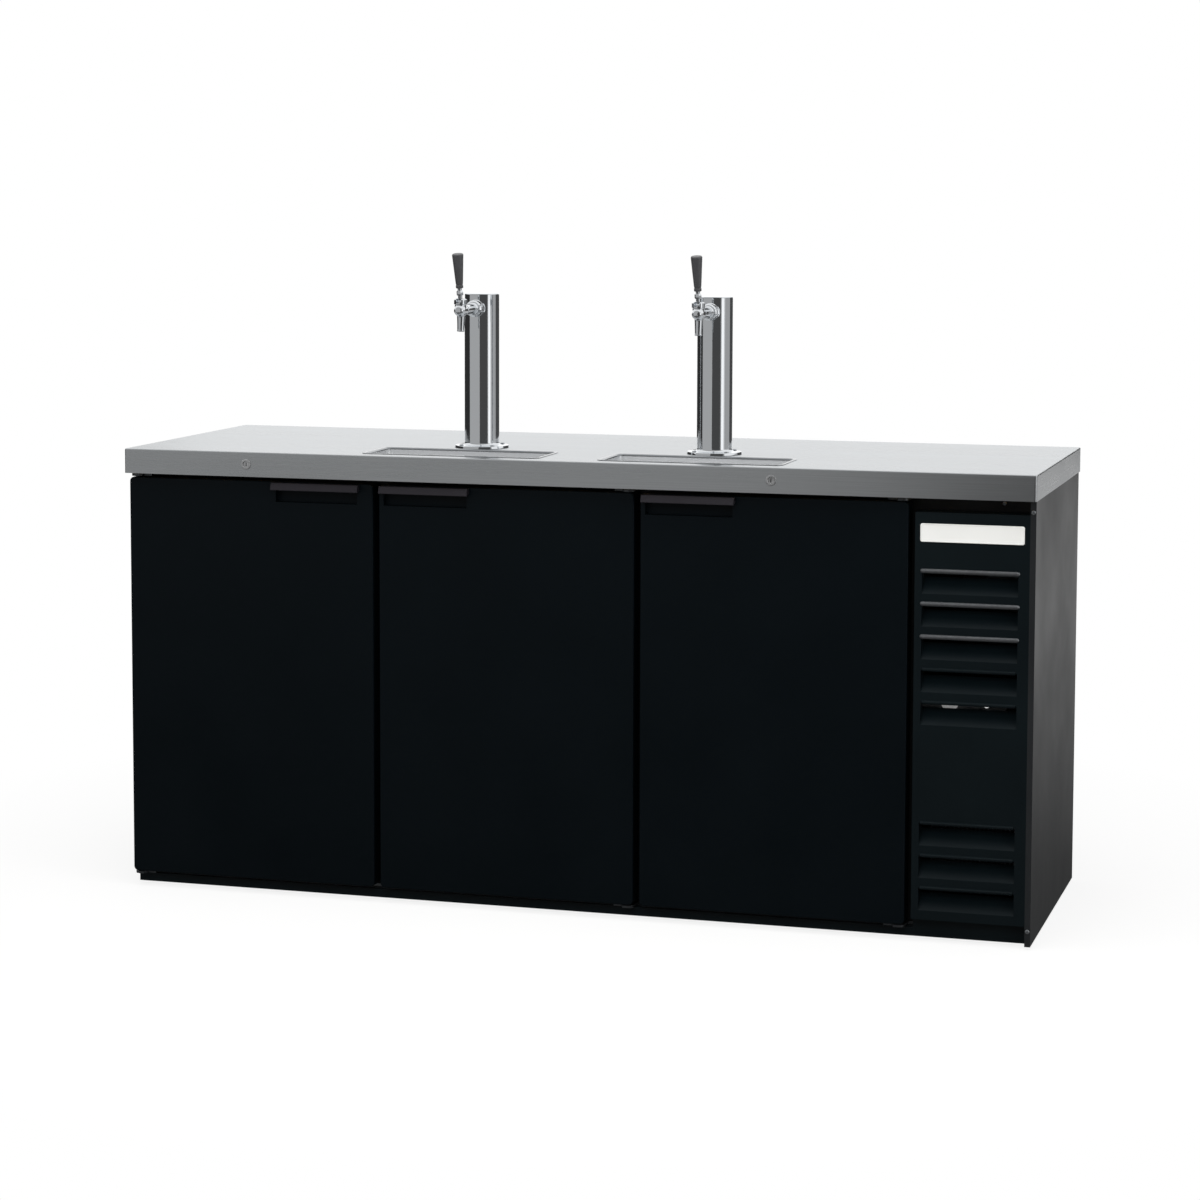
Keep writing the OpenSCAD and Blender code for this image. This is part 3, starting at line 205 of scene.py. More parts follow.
def galvanised_sheet():
    """Hot-dip galvanised steel: flat crystal spangles, each with its own grey and its own dullness."""
    made, tree, shader, place = material("galvanised_sheet", {"Metallic": 1.0})
    spangle = add(tree, "ShaderNodeTexVoronoi",
                  {"Vector": place["Object"], "Scale": per(24), "Randomness": 1.0})
    shade = add(tree, "ShaderNodeSeparateColor", {0: spangle.outputs["Color"]}).outputs
    tone = add(tree, "ShaderNodeMix", {0: shade[0], 6: linear("#999da0"), 7: linear("#adb1b4")},
               data_type="RGBA")
    rough = add(tree, "ShaderNodeMapRange", {0: shade[1], 3: 0.42, 4: 0.52})
    fill(tree, shader, {"Base Color": tone.outputs[2], "Roughness": rough})
    return made


def urethane_foam():
    """Poured urethane foam: straw yellow, full of small open cells. Its end wall, which the machine bay
    shows, is painted near black: painted shade, for the dark of the bay behind the grille."""
    made, tree, shader, place = material("urethane_foam_painted_shade_end", {"Roughness": 0.9})
    cells = add(tree, "ShaderNodeTexVoronoi", {"Vector": place["Object"], "Scale": per(3)})
    tone = add(tree, "ShaderNodeMix", {0: cells, 6: linear("#cdb878"), 7: linear("#e2d09a")}, data_type="RGBA")
    normal = add(tree, "ShaderNodeSeparateXYZ", {0: place["Normal"]})
    # Faces turned to +X, towards the machine bay, get the painted shade.
    end = add(tree, "ShaderNodeMath", {0: normal.outputs["X"], 1: 0.7}, operation="GREATER_THAN")
    bay_end_painted_shade = add(tree, "ShaderNodeMix", {0: end, 6: tone.outputs[2], 7: linear("#0f1011")}, data_type="RGBA")
    bump = add(tree, "ShaderNodeBump", {"Strength": 0.5, "Distance": 0.5 * MM, "Height": cells})
    fill(tree, shader, {"Base Color": bay_end_painted_shade.outputs[2], "Normal": bump})
    return made


def plywood_core():
    """Plywood under the worktop: pale veneer with long wavy grain along the length."""
    made, tree, shader, place = material("plywood_core", {"Roughness": 0.75})
    grain = add(tree, "ShaderNodeMapping", {"Vector": place["Object"], "Scale": (per(400), per(9), per(9))})
    wave = add(tree, "ShaderNodeTexNoise", {"Vector": grain, "Scale": 1.0, "Detail": 5.0, "Distortion": 0.6})
    tone = add(tree, "ShaderNodeMix", {0: wave, 6: linear("#a8824e"), 7: linear("#cfae78")}, data_type="RGBA")
    fill(tree, shader, {"Base Color": tone.outputs[2]})
    return made


STAINLESS = brushed_stainless("brushed_stainless_304", "#b7babc", "#cfd2d4", (0.25, 0.37))
PAN_STAINLESS = brushed_stainless("satin_drawn_stainless", "#c8cacc", "#dcdee0", (0.34, 0.44), 0.6)
# Darker grey for the pans' rolled rims: painted shade and dark reflection round the rim, on top of a real glossier
# roll.
RIM_PAINTED_SHADE = brushed_stainless("rolled_rim_painted_shade", "#8d9093", "#a2a5a8", (0.1, 0.18))
# The grids are stainless in a darker grey: painted shade, for the dim hollow of the tray they sit in.
GRID_PAINTED_SHADE = brushed_stainless("stainless_grid_painted_shade", "#979a9d", "#acafb2", (0.17, 0.26))
CHROME = mirror_chrome()
DOOR_VINYL = coated_steel("black_vinyl_clad_steel", "#03070a", "#060c10", (0.36, 0.46), 1.6, 0.10, 0.1)
# The side panels wear the doors' black vinyl. Their lighter charcoal is painted light, for the light that the
# right side catches.
SIDE_VINYL_PAINTED_LIGHT = coated_steel("black_vinyl_side_painted_lighter", "#141618", "#1d1f21", (0.32, 0.44), 2.2, 0.22, 0.5)
GRILLE_ENAMEL = coated_steel("black_baked_enamel", "#060b0e", "#0a1316", (0.34, 0.44), 1.2, 0.05, 0.16)
FRAME_ABS = moulded("black_abs_extrusion", "#08090a", "#0d0e0f", 0.5, 0.8, 0.06, 0.3)
PULL_PVC = moulded("grey_pvc_extrusion", "#1a181c", "#211f23", 0.42, 0.9, 0.05, 0.22)
HANDLE_PHENOLIC = moulded("black_phenolic_moulding", "#353537", "#414143", 0.36, 1.5, 0.03)
PLATE_ENAMEL = moulded("white_enamelled_plate", "#d6d6d3", "#dededb", 0.3, 1.0, 0.02)
GASKET_VINYL = moulded("black_vinyl_gasket", "#131314", "#1b1b1c", 0.6, 0.7, 0.1, 0.3)
FOOT_RUBBER = moulded("black_foot_rubber", "#111112", "#181819", 0.7, 0.9, 0.15, 0.3)
ZINC = plated_steel("zinc_plated_steel", "#a3a7ab", "#c3c7ca", 0.3)
LOCK_NICKEL = plated_steel("satin_nickel_lock", "#d0d1d2", "#e0e1e2", 0.42)
# Hinge plates: the screws' zinc plate in a darker grey, painted shade that keeps them dim.
HINGE_ZINC_PAINTED_SHADE = plated_steel("zinc_hinge_plate_painted_shade", "#56595c", "#6a6d70", 0.5)
# Light grey for the louvre lips: a painted highlight, the light that the top slots' lips catch.
LIP_PAINTED_HIGHLIGHT = plated_steel("louvre_lip_painted_highlight", "#8a8d90", "#a0a3a6", 0.5)
LINER = plated_steel("rolled_aluminium_liner", "#b4b8bb", "#c8cbce", 0.36)
FINS = plated_steel("aluminium_fin_stock", "#a9adb0", "#c0c4c7", 0.34)
BRASS = plated_steel("turned_brass", "#b08a45", "#c9a45c", 0.25)
GALVANISED = galvanised_sheet()
FOAM = urethane_foam()
PLYWOOD = plywood_core()
COMPRESSOR_ENAMEL = coated_steel("black_compressor_enamel", "#0d0d0e", "#141415", (0.22, 0.3), 2.5, 0.06, 0.5)
MOTOR_PAINT = coated_steel("grey_motor_paint", "#66686b", "#76787b", (0.4, 0.5), 1.5, 0.06, 0.5)
FAN_PLASTIC = moulded("black_fan_nylon", "#151516", "#1d1d1e", 0.5, 0.8, 0.08)
# The thermostat dial sits in shade behind the grille. Its glow is painted light that makes it show bright.
DIAL_PAINTED_GLOW = moulded("white_dial_painted_glow", "#dcdcd9", "#e8e8e5", 0.35, 0.9, 0.05, glow=0.15)
# The switch lens glows with no lamp in it: a painted highlight for its bright glint.
SWITCH_LENS_PAINTED_GLOW = moulded("switch_lens_painted_glow", "#e6e6e3", "#f0f0ed", 0.2, 0.9, 0.02, glow=0.6)
WHITE_PLASTIC = moulded("white_polystyrene_moulding", "#cfcfcc", "#dadad7", 0.35, 0.9, 0.05)

FINISH_OF_SLOT = {
    "stainless": STAINLESS, "chrome": CHROME, "zinc_steel": ZINC, "door_black": DOOR_VINYL,
    "side_grey": SIDE_VINYL_PAINTED_LIGHT, "grille_black": GRILLE_ENAMEL, "frame_black": FRAME_ABS, "pull_grey": PULL_PVC,
    "handle_black": HANDLE_PHENOLIC, "plate_white": PLATE_ENAMEL, "gasket_black": GASKET_VINYL,
    "foot_black": FOOT_RUBBER, "liner_steel": LINER, "galvanised": GALVANISED, "foam": FOAM,
    "core_board": PLYWOOD, "coil_fin": FINS, "compressor_black": COMPRESSOR_ENAMEL, "motor_grey": MOTOR_PAINT,
    "fan_black": FAN_PLASTIC, "white_plastic": WHITE_PLASTIC, "valve_brass": BRASS}
FINISH_OF_NODE = {"hinge_brackets": HINGE_ZINC_PAINTED_SHADE, "thermostat_knob": DIAL_PAINTED_GLOW, "lock_plug_left": LOCK_NICKEL,
                  "lock_plug_right": LOCK_NICKEL}
for row in frame["record"]["subparts"]:
    node_mesh = frame["nodes"][row["node"]].data
    node_mesh.materials.clear()
    node_mesh.materials.append(FINISH_OF_NODE.get(row["node"], FINISH_OF_SLOT[row["material_slot"]]))


# Outlines and meshes

def arc(centre, radius, first_deg, last_deg, steps=8):
    """Points of an arc in an outline."""
    angles = (math.radians(first_deg + (last_deg - first_deg) * k / steps) for k in range(steps + 1))
    return [Vector((centre[0] + radius * math.cos(a), centre[1] + radius * math.sin(a))) for a in angles]


def in_mm(*points):
    """Outline points that are given in millimetres."""
    return [Vector(point) * MM for point in points]


def mesh_of(name, bm, closed=True):
    """A mesh of what bm holds, a closed one with its faces outwards. bm goes."""
    if closed:
        bmesh.ops.recalc_face_normals(bm, faces=bm.faces)
    mesh = bpy.data.meshes.new(name)
    bm.to_mesh(mesh)
    bm.free()
    return mesh


# Studio: a pale floor, a white surround, softboxes, and grey cards that only gloss sees
FLOOR_RADIUS = 2.4
FLAG_RADIUS = 4.6
BELOW = -0.1
WHITE = linear("#ffffff")


def background_share(tree):
    """One for the rays that see the background itself: from the camera, from gloss, or through glass."""
    ray = add(tree, "ShaderNodeLightPath").outputs
    seen = add(tree, "ShaderNodeMath", {0: ray["Is Camera Ray"], 1: ray["Is Glossy Ray"]}, operation="ADD")
    return add(tree, "ShaderNodeMath", {0: seen, 1: ray["Is Transmission Ray"]}, operation="ADD",
               use_clamp=True)


def stage_card(name, bm, finish, reflections_only):
    """A piece of the studio, not of the cooler."""
    card = bpy.data.objects.new(name, mesh_of(name, bm, closed=False))
    card.data.materials.append(finish)
    scene.collection.objects.link(card)
    if reflections_only:
        card.visible_camera = False
        card.visible_diffuse = False
        card.visible_shadow = False
    return card


def floor_paper():
    """White paper sweep: most of its white is the background's own, the rest is lit and carries the shadow."""
    made, tree, shader, place = material("white_paper_floor",
                                         {"Roughness": 0.9, "Base Color": linear("#f6f6f4")})
    dull = add(tree, "ShaderNodeBsdfDiffuse", {"Color": linear("#bcbcba")})
    glow = add(tree, "ShaderNodeEmission", {"Color": WHITE, "Strength": 1.0})
    away = add(tree, "ShaderNodeVectorMath", {0: place["Object"]}, operation="LENGTH").outputs["Value"]
    share = add(tree, "ShaderNodeMapRange", {0: away, 1: 1.1, 2: FLOOR_RADIUS - 0.4, 3: 0.84, 4: 1.0})
    paper = add(tree, "ShaderNodeMixShader", {0: share, 1: shader, 2: glow})
    both = add(tree, "ShaderNodeMixShader", {0: background_share(tree), 1: dull, 2: paper})
    fill(tree, tree.nodes["Material Output"], {"Surface": both})
    return made


def studio_floor():
    """Round paper floor, a hair under the feet, that gloss doesn't see."""
    bm = bmesh.new()
    bmesh.ops.create_circle(bm, cap_ends=True, segments=96, radius=FLOOR_RADIUS,
                            matrix=Matrix.Translation((0, 0, -0.5 * MM)))
    stage_card("studio_floor", bm, floor_paper(), False).visible_glossy = False


def grey_card(level):
    """Matt grey board at a known brightness."""
    made, tree = material(f"grey_board_{round(level * 100):03d}", {})[:2]
    board = add(tree, "ShaderNodeEmission", {"Color": WHITE, "Strength": level})
    fill(tree, tree.nodes["Material Output"], {"Surface": board})
    return made


def flag(name, first_deg, last_deg, low, high, level):
    """An upright curved card between two bearings, measured from the front towards the right."""
    bm = bmesh.new()
    steps = 16
    columns = []
    for k in range(steps + 1):
        bearing = math.radians(first_deg + (last_deg - first_deg) * k / steps)
        foot = Vector((math.sin(bearing), -math.cos(bearing), 0)) * FLAG_RADIUS
        columns.append([bm.verts.new(foot + Vector((0, 0, z))) for z in (low, high)])
    for a, b in zip(columns, columns[1:]):
        bm.faces.new((a[0], a[1], b[1], b[0]))
    stage_card(name, bm, grey_card(level), True)


def floor_card(name, near, far, turn_deg):
    """Half a round grey card at floor level, with its brightness near and far, as the room's floor shows in
    gloss."""
    made, tree, _, place = material(f"{name}_paint", {})
    away = add(tree, "ShaderNodeVectorMath", {0: place["Object"]}, operation="LENGTH").outputs["Value"]
    level = add(tree, "ShaderNodeMapRange", {0: away, 1: 1.2, 2: 3.6, 3: near, 4: far})
    board = add(tree, "ShaderNodeEmission", {"Color": WHITE, "Strength": level})
    fill(tree, tree.nodes["Material Output"], {"Surface": board})
    bm = bmesh.new()
    spots = arc((0, 0), FLAG_RADIUS, turn_deg, turn_deg + 180, 32)
    bm.faces.new([bm.verts.new((x, y, -2 * MM)) for x, y in spots])
    stage_card(name, bm, made, True)


def ceiling_card(half_width, low_y, high_y, height, level):
    """A level card overhead that only gloss sees."""
    bm = bmesh.new()
    corners = ((-half_width, low_y), (-half_width, high_y), (half_width, high_y), (half_width, low_y))
    bm.faces.new([bm.verts.new((x, y, height)) for x, y in corners])
    stage_card("ceiling_card", bm, grey_card(level), True)


def studio_world():
    """White surround, dimmed where it only lights the cooler."""
    world = bpy.data.worlds.new("studio_world")
    world.use_nodes = True
    tree = world.node_tree
    level = add(tree, "ShaderNodeMapRange", {0: background_share(tree), 3: 0.5, 4: 1.0})
    fill(tree, tree.nodes["Background"], {"Color": WHITE, "Strength": level})
    scene.world = world


def softbox(name, place, aim, width, height, power):
    """A rectangular lamp at place, facing aim. Gloss shows the white surround and the cards, not the lamp."""
    lamp = bpy.data.lights.new(name, "AREA")
    lamp.shape = "RECTANGLE"
    lamp.size, lamp.size_y = width, height
    lamp.energy = power
    box = bpy.data.objects.new(name, lamp)
    box.location = place
    box.rotation_euler = (Vector(aim) - Vector(place)).to_track_quat("-Z", "Y").to_euler()
    box.visible_glossy = False
    scene.collection.objects.link(box)


# Name, first and last bearing, lower and upper edge, brightness
FLAGS = [
    ("flag_left", -135, -70, BELOW, 2.0, 0.03),
    ("flag_rear_left", -164, -135, BELOW, 1.12, 0.03),
    ("flag_front_left", -70, 0, BELOW, 3.2, 0.44),
    ("flag_front", 0, 52, BELOW, 3.2, 0.07),
    ("flag_front_edge", 52, 58, BELOW, 3.2, 0.3),
    ("white_card_right", 58, 75, BELOW, 1.8, 1.2),
    ("flag_right_edge", 75, 82, BELOW, 1.8, 0.68),
    ("flag_right", 82, 124, BELOW, 1.8, 0.4),
    ("flag_rear_right_low", 124, 172, BELOW, 0.68, 0.55),
    ("flag_rear_right", 124, 165, 0.68, 2.0, 0.07),
    ("flag_rear_right_edge", 165, 172, 0.68, 1.2, 0.1),
    ("flag_rear", 172, 196, BELOW, 1.15, 0.04),
    ("flag_rear_high", 166, 216, 1.3, 3.3, 1.2)]

studio_floor()
studio_world()
floor_card("floor_card_front", 0.1, 0.1, 180)
floor_card("floor_card_rear", 0.1, 0.42, 0)
ceiling_card(4.6, -4.6, -1.2, 3.3, 0.4)
for flag_row in FLAGS:
    flag(*flag_row)
softbox("softbox_right", (3.3, -1.6, 1.4), (0.6, 0.0, 0.9), 1.4, 2.2, 30)
softbox("softbox_overhead", (0.2, -1.0, 3.4), (0.0, 0.0, 0.6), 3.2, 2.2, 85)
softbox("softbox_front", (0.4, -4.4, 2.8), (0.0, 0.0, 0.5), 3.0, 1.6, 80)


# Shapes

def mesh_piece(name, mesh, finish, body, stands_for=(), sharp_deg=35):
    """Makes a mesh one named piece of the object, smooth but for its sharp edges, riding on a body."""
    mesh.shade_smooth()
    mesh.set_sharp_from_angle(angle=math.radians(sharp_deg))
    mesh.materials.clear()
    mesh.materials.append(finish)
    made = bpy.data.objects.new(name, mesh)
    scene.collection.objects.link(made)
    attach(made, body)
    if stands_for:
        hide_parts(*stands_for)
    return made


def piece(name, bm, finish, body, stands_for=(), sharp_deg=35):
    """Turns a bmesh into one named piece of the object."""
    return mesh_piece(name, mesh_of(name, bm), finish, body, stands_for, sharp_deg)


def rounded(corners, steps=5):
    """A closed outline of (x, y, radius) corners with each radius turned into an arc."""
    outline = []
    for i, (x, y, radius) in enumerate(corners):
        here = Vector((x, y))
        if not radius:
            outline.append(here)
            continue
        back = (Vector(corners[i - 1][:2]) - here).normalized()
        on = (Vector(corners[(i + 1) % len(corners)][:2]) - here).normalized()
        half = back.angle(on) / 2
        centre = here + (back + on).normalized() * radius / math.sin(half)
        first, last = (here + d * radius / math.tan(half) - centre for d in (back, on))
        for k in range(steps + 1):
            outline.append(centre + first.lerp(last, k / steps).normalized() * radius)
    return outline


def lathe(bm, outline, at=Matrix.Identity(4), turns=96):
    """Spins a closed (radius, height) outline round Z and adds it to bm, placed by at."""
    rings = []
    for radius, height in outline:
        count = 1 if radius < 1e-6 else turns
        angles = (2 * math.pi * k / turns for k in range(count))
        spots = (Vector((radius * math.cos(a), radius * math.sin(a), height)) for a in angles)
        rings.append([bm.verts.new(at @ spot) for spot in spots])
    for low, high in zip(rings, rings[1:] + rings[:1]):
        for k in range(turns):
            near, far = [(ring[k % len(ring)], ring[(k + 1) % len(ring)]) for ring in (low, high)]
            corners = list(dict.fromkeys(near + far[::-1]))
            if len(corners) > 2:
                bm.faces.new(corners)
    return bm


def rect_ring(bm, width, depth, radius, height, at, steps=7):
    """One rounded-rectangle loop of vertices in the XY plane at a height, placed by at."""
    corners = [(sx * width / 2, sy * depth / 2, radius) for sx, sy in ((1, 1), (-1, 1), (-1, -1), (1, -1))]
    return [bm.verts.new(at @ Vector((x, y, height))) for x, y in rounded(corners, steps)]


def inset(width, depth, steps):
    """Levels for a loft from (distance in from the edge, corner radius, height) steps."""
    return [(width - 2 * wall, depth - 2 * wall, radius, height) for wall, radius, height in steps]


def rect_loft(bm, levels, at, ring=False):
    """Lofts (width, depth, corner radius, height) levels into a skin, placed by at. Its ends are closed, or
    with ring the last level joins the first."""
    rings = [rect_ring(bm, *level, at) for level in levels]
    for low, high in zip(rings, rings[1:] + rings[:1] * ring):
        for k in range(len(low)):
            bm.faces.new((low[k - 1], low[k], high[k], high[k - 1]))
    if not ring:
        bm.faces.new(rings[0])
        bm.faces.new(rings[-1])
    return bm


def run_x(bm, outline, x0, x1):
    """Runs a closed (y, z) outline along X and closes its ends."""
    ends = [[bm.verts.new((x, y, z)) for y, z in outline] for x in (x0, x1)]
    for k in range(len(outline)):
        bm.faces.new((ends[0][k - 1], ends[0][k], ends[1][k], ends[1][k - 1]))
    bm.faces.new(ends[0])
    bm.faces.new(ends[1])
    return bm


def rod(bm, route, radius, sides=16):
    """Sweeps a round section along a route of points and closes its ends with soft noses."""
    rings = []
    across = (route[1] - route[0]).orthogonal()
    for k, spot in enumerate(route):
        along = (route[min(k + 1, len(route) - 1)] - route[max(k - 1, 0)]).normalized()
        across = (across - along * across.dot(along)).normalized()
        other = along.cross(across)
        turns = (2 * math.pi * j / sides for j in range(sides))
        ways = (across * math.cos(t) + other * math.sin(t) for t in turns)
        rings.append([bm.verts.new(spot + way * radius) for way in ways])
    for low, high in zip(rings, rings[1:]):
        for j in range(sides):
            bm.faces.new((low[j - 1], low[j], high[j], high[j - 1]))
    for ring, spot, back in ((rings[0], route[0], route[1]), (rings[-1], route[-1], route[-2])):
        nose = bm.verts.new(spot + (spot - back).normalized() * radius * 0.5)
        for j in range(sides):
            bm.faces.new((ring[j - 1], ring[j], nose))
    return bm


def middle(node):
    """The middle of a CAD node's box."""
    low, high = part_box(node)
    return (low + high) / 2


def node_tree(name, inputs):
    """A Geometry Nodes tree with named inputs, given as label: socket kind. Returns it with its ends and the
    identifiers that its inputs go by."""
    tree = bpy.data.node_groups.new(name, "GeometryNodeTree")
    tree.interface.new_socket("Geometry", in_out="INPUT", socket_type="NodeSocketGeometry")
    keys = {label: tree.interface.new_socket(label, in_out="INPUT", socket_type=kind).identifier
            for label, kind in inputs.items()}
    tree.interface.new_socket("Geometry", in_out="OUTPUT", socket_type="NodeSocketGeometry")
    return tree, add(tree, "NodeGroupInput").outputs, add(tree, "NodeGroupOutput"), keys


def evaluated(holder):
    """The plain mesh that a holder's modifiers make. The holder goes."""
    scene.collection.objects.link(holder)
    made = bpy.data.meshes.new_from_object(holder.evaluated_get(bpy.context.evaluated_depsgraph_get()))
    bpy.data.objects.remove(holder)
    return made


def grown(mesh, tree, keys, values):
    """The plain mesh that a Geometry Nodes tree grows from a mesh."""
    holder = bpy.data.objects.new("holder", mesh)
    nodes = holder.modifiers.new("nodes", "NODES")
    nodes.node_group = tree
    for label, value in values.items():
        nodes[keys[label]] = value
    return evaluated(holder)


# Draft towers
COLUMN_R = 38.1 * MM
FOOT_R = 60 * MM
TUBE_WALL = 2 * MM
FOOT_THICK = 6 * MM
FOOT_SCREW_R = 50.6 * MM


def tower_column(side):
    """Chrome tube brazed into a round foot; the braze is a smooth cove."""
    node = f"tower_{side}_column"
    low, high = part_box(node)
    mid = middle(node)
    height = high.z - low.z
    inner = COLUMN_R - TUBE_WALL
    cove = 7 * MM
    edge = 1 * MM
    draft = 0.8 * MM
    outline = [Vector((inner, 0)), Vector((FOOT_R - 1 * MM, 0)), Vector((FOOT_R, 0.6 * MM))]
    outline += arc((FOOT_R - draft - edge, FOOT_THICK - edge), edge, 10, 90, 6)
    outline += arc((COLUMN_R + cove, FOOT_THICK + cove), cove, 270, 180)
    outline += [Vector((COLUMN_R, height)), Vector((inner, height))]
    bm = lathe(bmesh.new(), outline, Matrix.Translation((mid.x, mid.y, low.z)), 128)
    piece(f"draft_column_{side}", bm, CHROME, "cabinet", [node])


def tower_caps():
    """Pressed caps with a shallow crown, their skirts inside the tubes."""
    bm = bmesh.new()
    skirt = COLUMN_R - TUBE_WALL - 0.2 * MM
    inside = skirt - 1.5 * MM
    edge = 2.4 * MM
    for side in SIDES:
        mid = middle(f"tower_{side}_column")
        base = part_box(f"tower_{side}_column")[1].z
        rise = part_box("tower_caps")[1].z - base
        outline = [Vector((0, rise)), Vector((18 * MM, rise - 0.1 * MM)), Vector((30 * MM, rise - 0.5 * MM))]
        outline += arc((COLUMN_R - edge, rise - 0.9 * MM - edge), edge, 80, 0, 6)
        outline += [Vector((COLUMN_R, 0.2 * MM)), Vector((COLUMN_R - 0.3 * MM, 0)), Vector((skirt, 0))]
        outline += [Vector((skirt, -10 * MM)), Vector((inside, -10 * MM)), Vector((inside, rise - 3 * MM))]
        outline += [Vector((0, rise - 2.4 * MM))]
        lathe(bm, outline, Matrix.Translation((mid.x, mid.y, base)), 128)
    piece("draft_column_caps", bm, CHROME, "cabinet", ["tower_caps"])


for side_name in SIDES:
    tower_column(side_name)
tower_caps()

# Taps
LEVER_LEAN = math.radians(10)
HANDLE_START = 33 * MM
HANDLE_LEN = 75 * MM
REACH = 146 * MM
SPOUT_LEAN = math.radians(6)
# The lever boss's and the spout's own places in the faucet: Z up out of the barrel, and down out of it
BOSS_PLACE = Matrix.Translation((0, 0, REACH)) @ Matrix.Rotation(-math.pi / 2, 4, "X")
SPOUT_PLACE = Matrix.Translation((0, 0, REACH - 6 * MM)) @ Matrix.Rotation(math.pi / 2 - SPOUT_LEAN, 4, "X")


def lever_place(side):
    """The leaning lever's own place: origin at its pivot, Z up along it."""
    pivot = next(row["pos_m"] for row in frame["joints"] if row["name"] == f"tap_{side}_pull")
    return Matrix.Translation(pivot) @ Matrix.Rotation(LEVER_LEAN, 4, "X")


def faucet_place(side):
    """A faucet's own place: Z forward along the shank from the column's axis, Y up."""
    mid = middle(f"tower_{side}_column")
    axis = Vector((mid.x, mid.y, middle("coupling_nuts").z))
    return Matrix.Translation(axis) @ Matrix.Rotation(math.pi / 2, 4, "X")


def faucet_blank():
    """The outside of the casting: barrel, lever boss and spout."""
    barrel = in_mm((0, 52.4), (10.9, 52.4), (10.9, 61.4), (13.5, 62.4), (13.5, 66.4), (11.5, 69.4), (11.5, 122),
                   (13, 132), (13, 152), (10.5, 158), (7, 161.5), (0, 162.5))
    boss = in_mm((0, 0), (12.5, 0), (12.5, 13.2), (0, 13.2))
    spout = in_mm((0, 0), (9.5, 0), (9.2, 12), (8.3, 26), (7.6, 42.5), (8, 44.5), (8, 46.5), (0, 46.5))
    bm = lathe(bmesh.new(), barrel, turns=64)
    lathe(bm, boss, BOSS_PLACE, 64)
    lathe(bm, spout, SPOUT_PLACE, 64)
    return mesh_of("faucet_blank", bm)


def faucet_bores():
    """What is bored out of the casting: chamber and shaft guide, spout, lever seat, and the lever's well."""
    chamber = in_mm((0, 51), (8.7, 51), (8.7, 71.4), (4.6, 71.4), (4.6, 155), (0, 155))
    bm = lathe(bmesh.new(), chamber, turns=48)
    lathe(bm, in_mm((0, 0), (5, 0), (5, 70), (0, 70)), SPOUT_PLACE, 48)
    lathe(bm, in_mm((0, 7.5), (10, 7.5), (10, 20), (0, 20)), BOSS_PLACE, 48)
    well = Matrix.Translation((0, 15 * MM, REACH - 4 * MM)) @ Matrix.Diagonal((6.4 * MM, 30 * MM, 24 * MM, 1))
    bmesh.ops.create_cube(bm, size=1, matrix=well)
    return mesh_of("faucet_bores", bm)


def faucet_casting():
    """The faucet's body in its own place: its blank's parts run into one another as a casting's do, and then
    it is bored."""
    holder = bpy.data.objects.new("holder", faucet_blank())
    skin = holder.modifiers.new("skin", "REMESH")
    skin.mode = "VOXEL"
    skin.voxel_size = 0.9 * MM
    soften = holder.modifiers.new("soften", "SMOOTH")
    soften.iterations = 7
    holder = bpy.data.objects.new("holder", evaluated(holder))
    tool = bpy.data.objects.new("tool", faucet_bores())
    scene.collection.objects.link(tool)
    bore = holder.modifiers.new("bore", "BOOLEAN")
    bore.object = tool
    bore.operation = "DIFFERENCE"
    bore.solver = "EXACT"
    bore.use_self = True
    made = evaluated(holder)
    bpy.data.objects.remove(tool)
    return made


def faucets():
    """One casting for each tower."""
    cast = faucet_casting()
    for side in SIDES:
        mesh = cast.copy()
        mesh.transform(faucet_place(side))
        mesh_piece(f"faucet_casting_{side}", mesh, CHROME, "cabinet", [f"faucet_{side}_body"], 40)


def tap_lever(side):
    """Turned lever: a finger down to the shaft, ball in the bonnet, neck, and a hexagon lock nut under the
    handle."""
    at = lever_place(side)
    finger = 16.25 * MM
    outline = arc((0, -finger), 2.3 * MM, -90, 0, 6)
    outline += arc((0, 0), 7.5 * MM, -72, 52, 14)
    outline += in_mm((4.6, 6.5), (4.6, 46), (3.8, 47), (0, 47))
    bm = lathe(bmesh.new(), outline, at, 48)
    nut = rounded(in_mm((4.6, 17, 0), (7.5, 17, 0.7), (7.5, 25, 0), (5.4, 28, 0), (4.6, 28, 0)), 3)
    lathe(bm, nut, at, 6)
    piece(f"tap_lever_{side}", bm, CHROME, f"tap_{side}", [f"faucet_{side}_lever"])


def tap_handle(side):
    """Turned phenolic handle: waisted ferrule, long straight taper widening to a flat top with a soft edge."""
    low_r, top_r, bore_r = 8 * MM, 12.5 * MM, 4.7 * MM
    z0, z1 = HANDLE_START, HANDLE_START + HANDLE_LEN
    bore_end = z0 + 14.5 * MM
    outline = rounded([
        (bore_r, z0, 0), (low_r, z0, 0.8 * MM), (low_r, z0 + 5 * MM, 1 * MM),
        (low_r - 0.8 * MM, z0 + 7 * MM, 1 * MM), (low_r, z0 + 11 * MM, 2 * MM), (top_r, z1, 2.6 * MM),
        (0, z1, 0), (0, bore_end, 0), (bore_r, bore_end, 0)])
    bm = lathe(bmesh.new(), outline, lever_place(side), 64)
    piece(f"tap_handle_turned_{side}", bm, HANDLE_PHENOLIC, f"tap_{side}",
          [f"tap_handle_{side}"])


faucets()
for side_name in SIDES:
    tap_lever(side_name)
    tap_handle(side_name)

# Drip trays, in millimetres
RIM_W, RIM_D = 404, 166
PAN_T = 1.5
PAN_DEPTH = 30
RIM_SHADE_BAND = 4
SLOT_COLUMNS, SLOT_ROWS = 13, 3


def tray_place(node):
    """A tray's or grid's own place: over its middle on the floor, in millimetres."""
    mid = middle(node)
    return Matrix.Translation((mid.x, mid.y, 0)) @ Matrix.Scale(MM, 4)


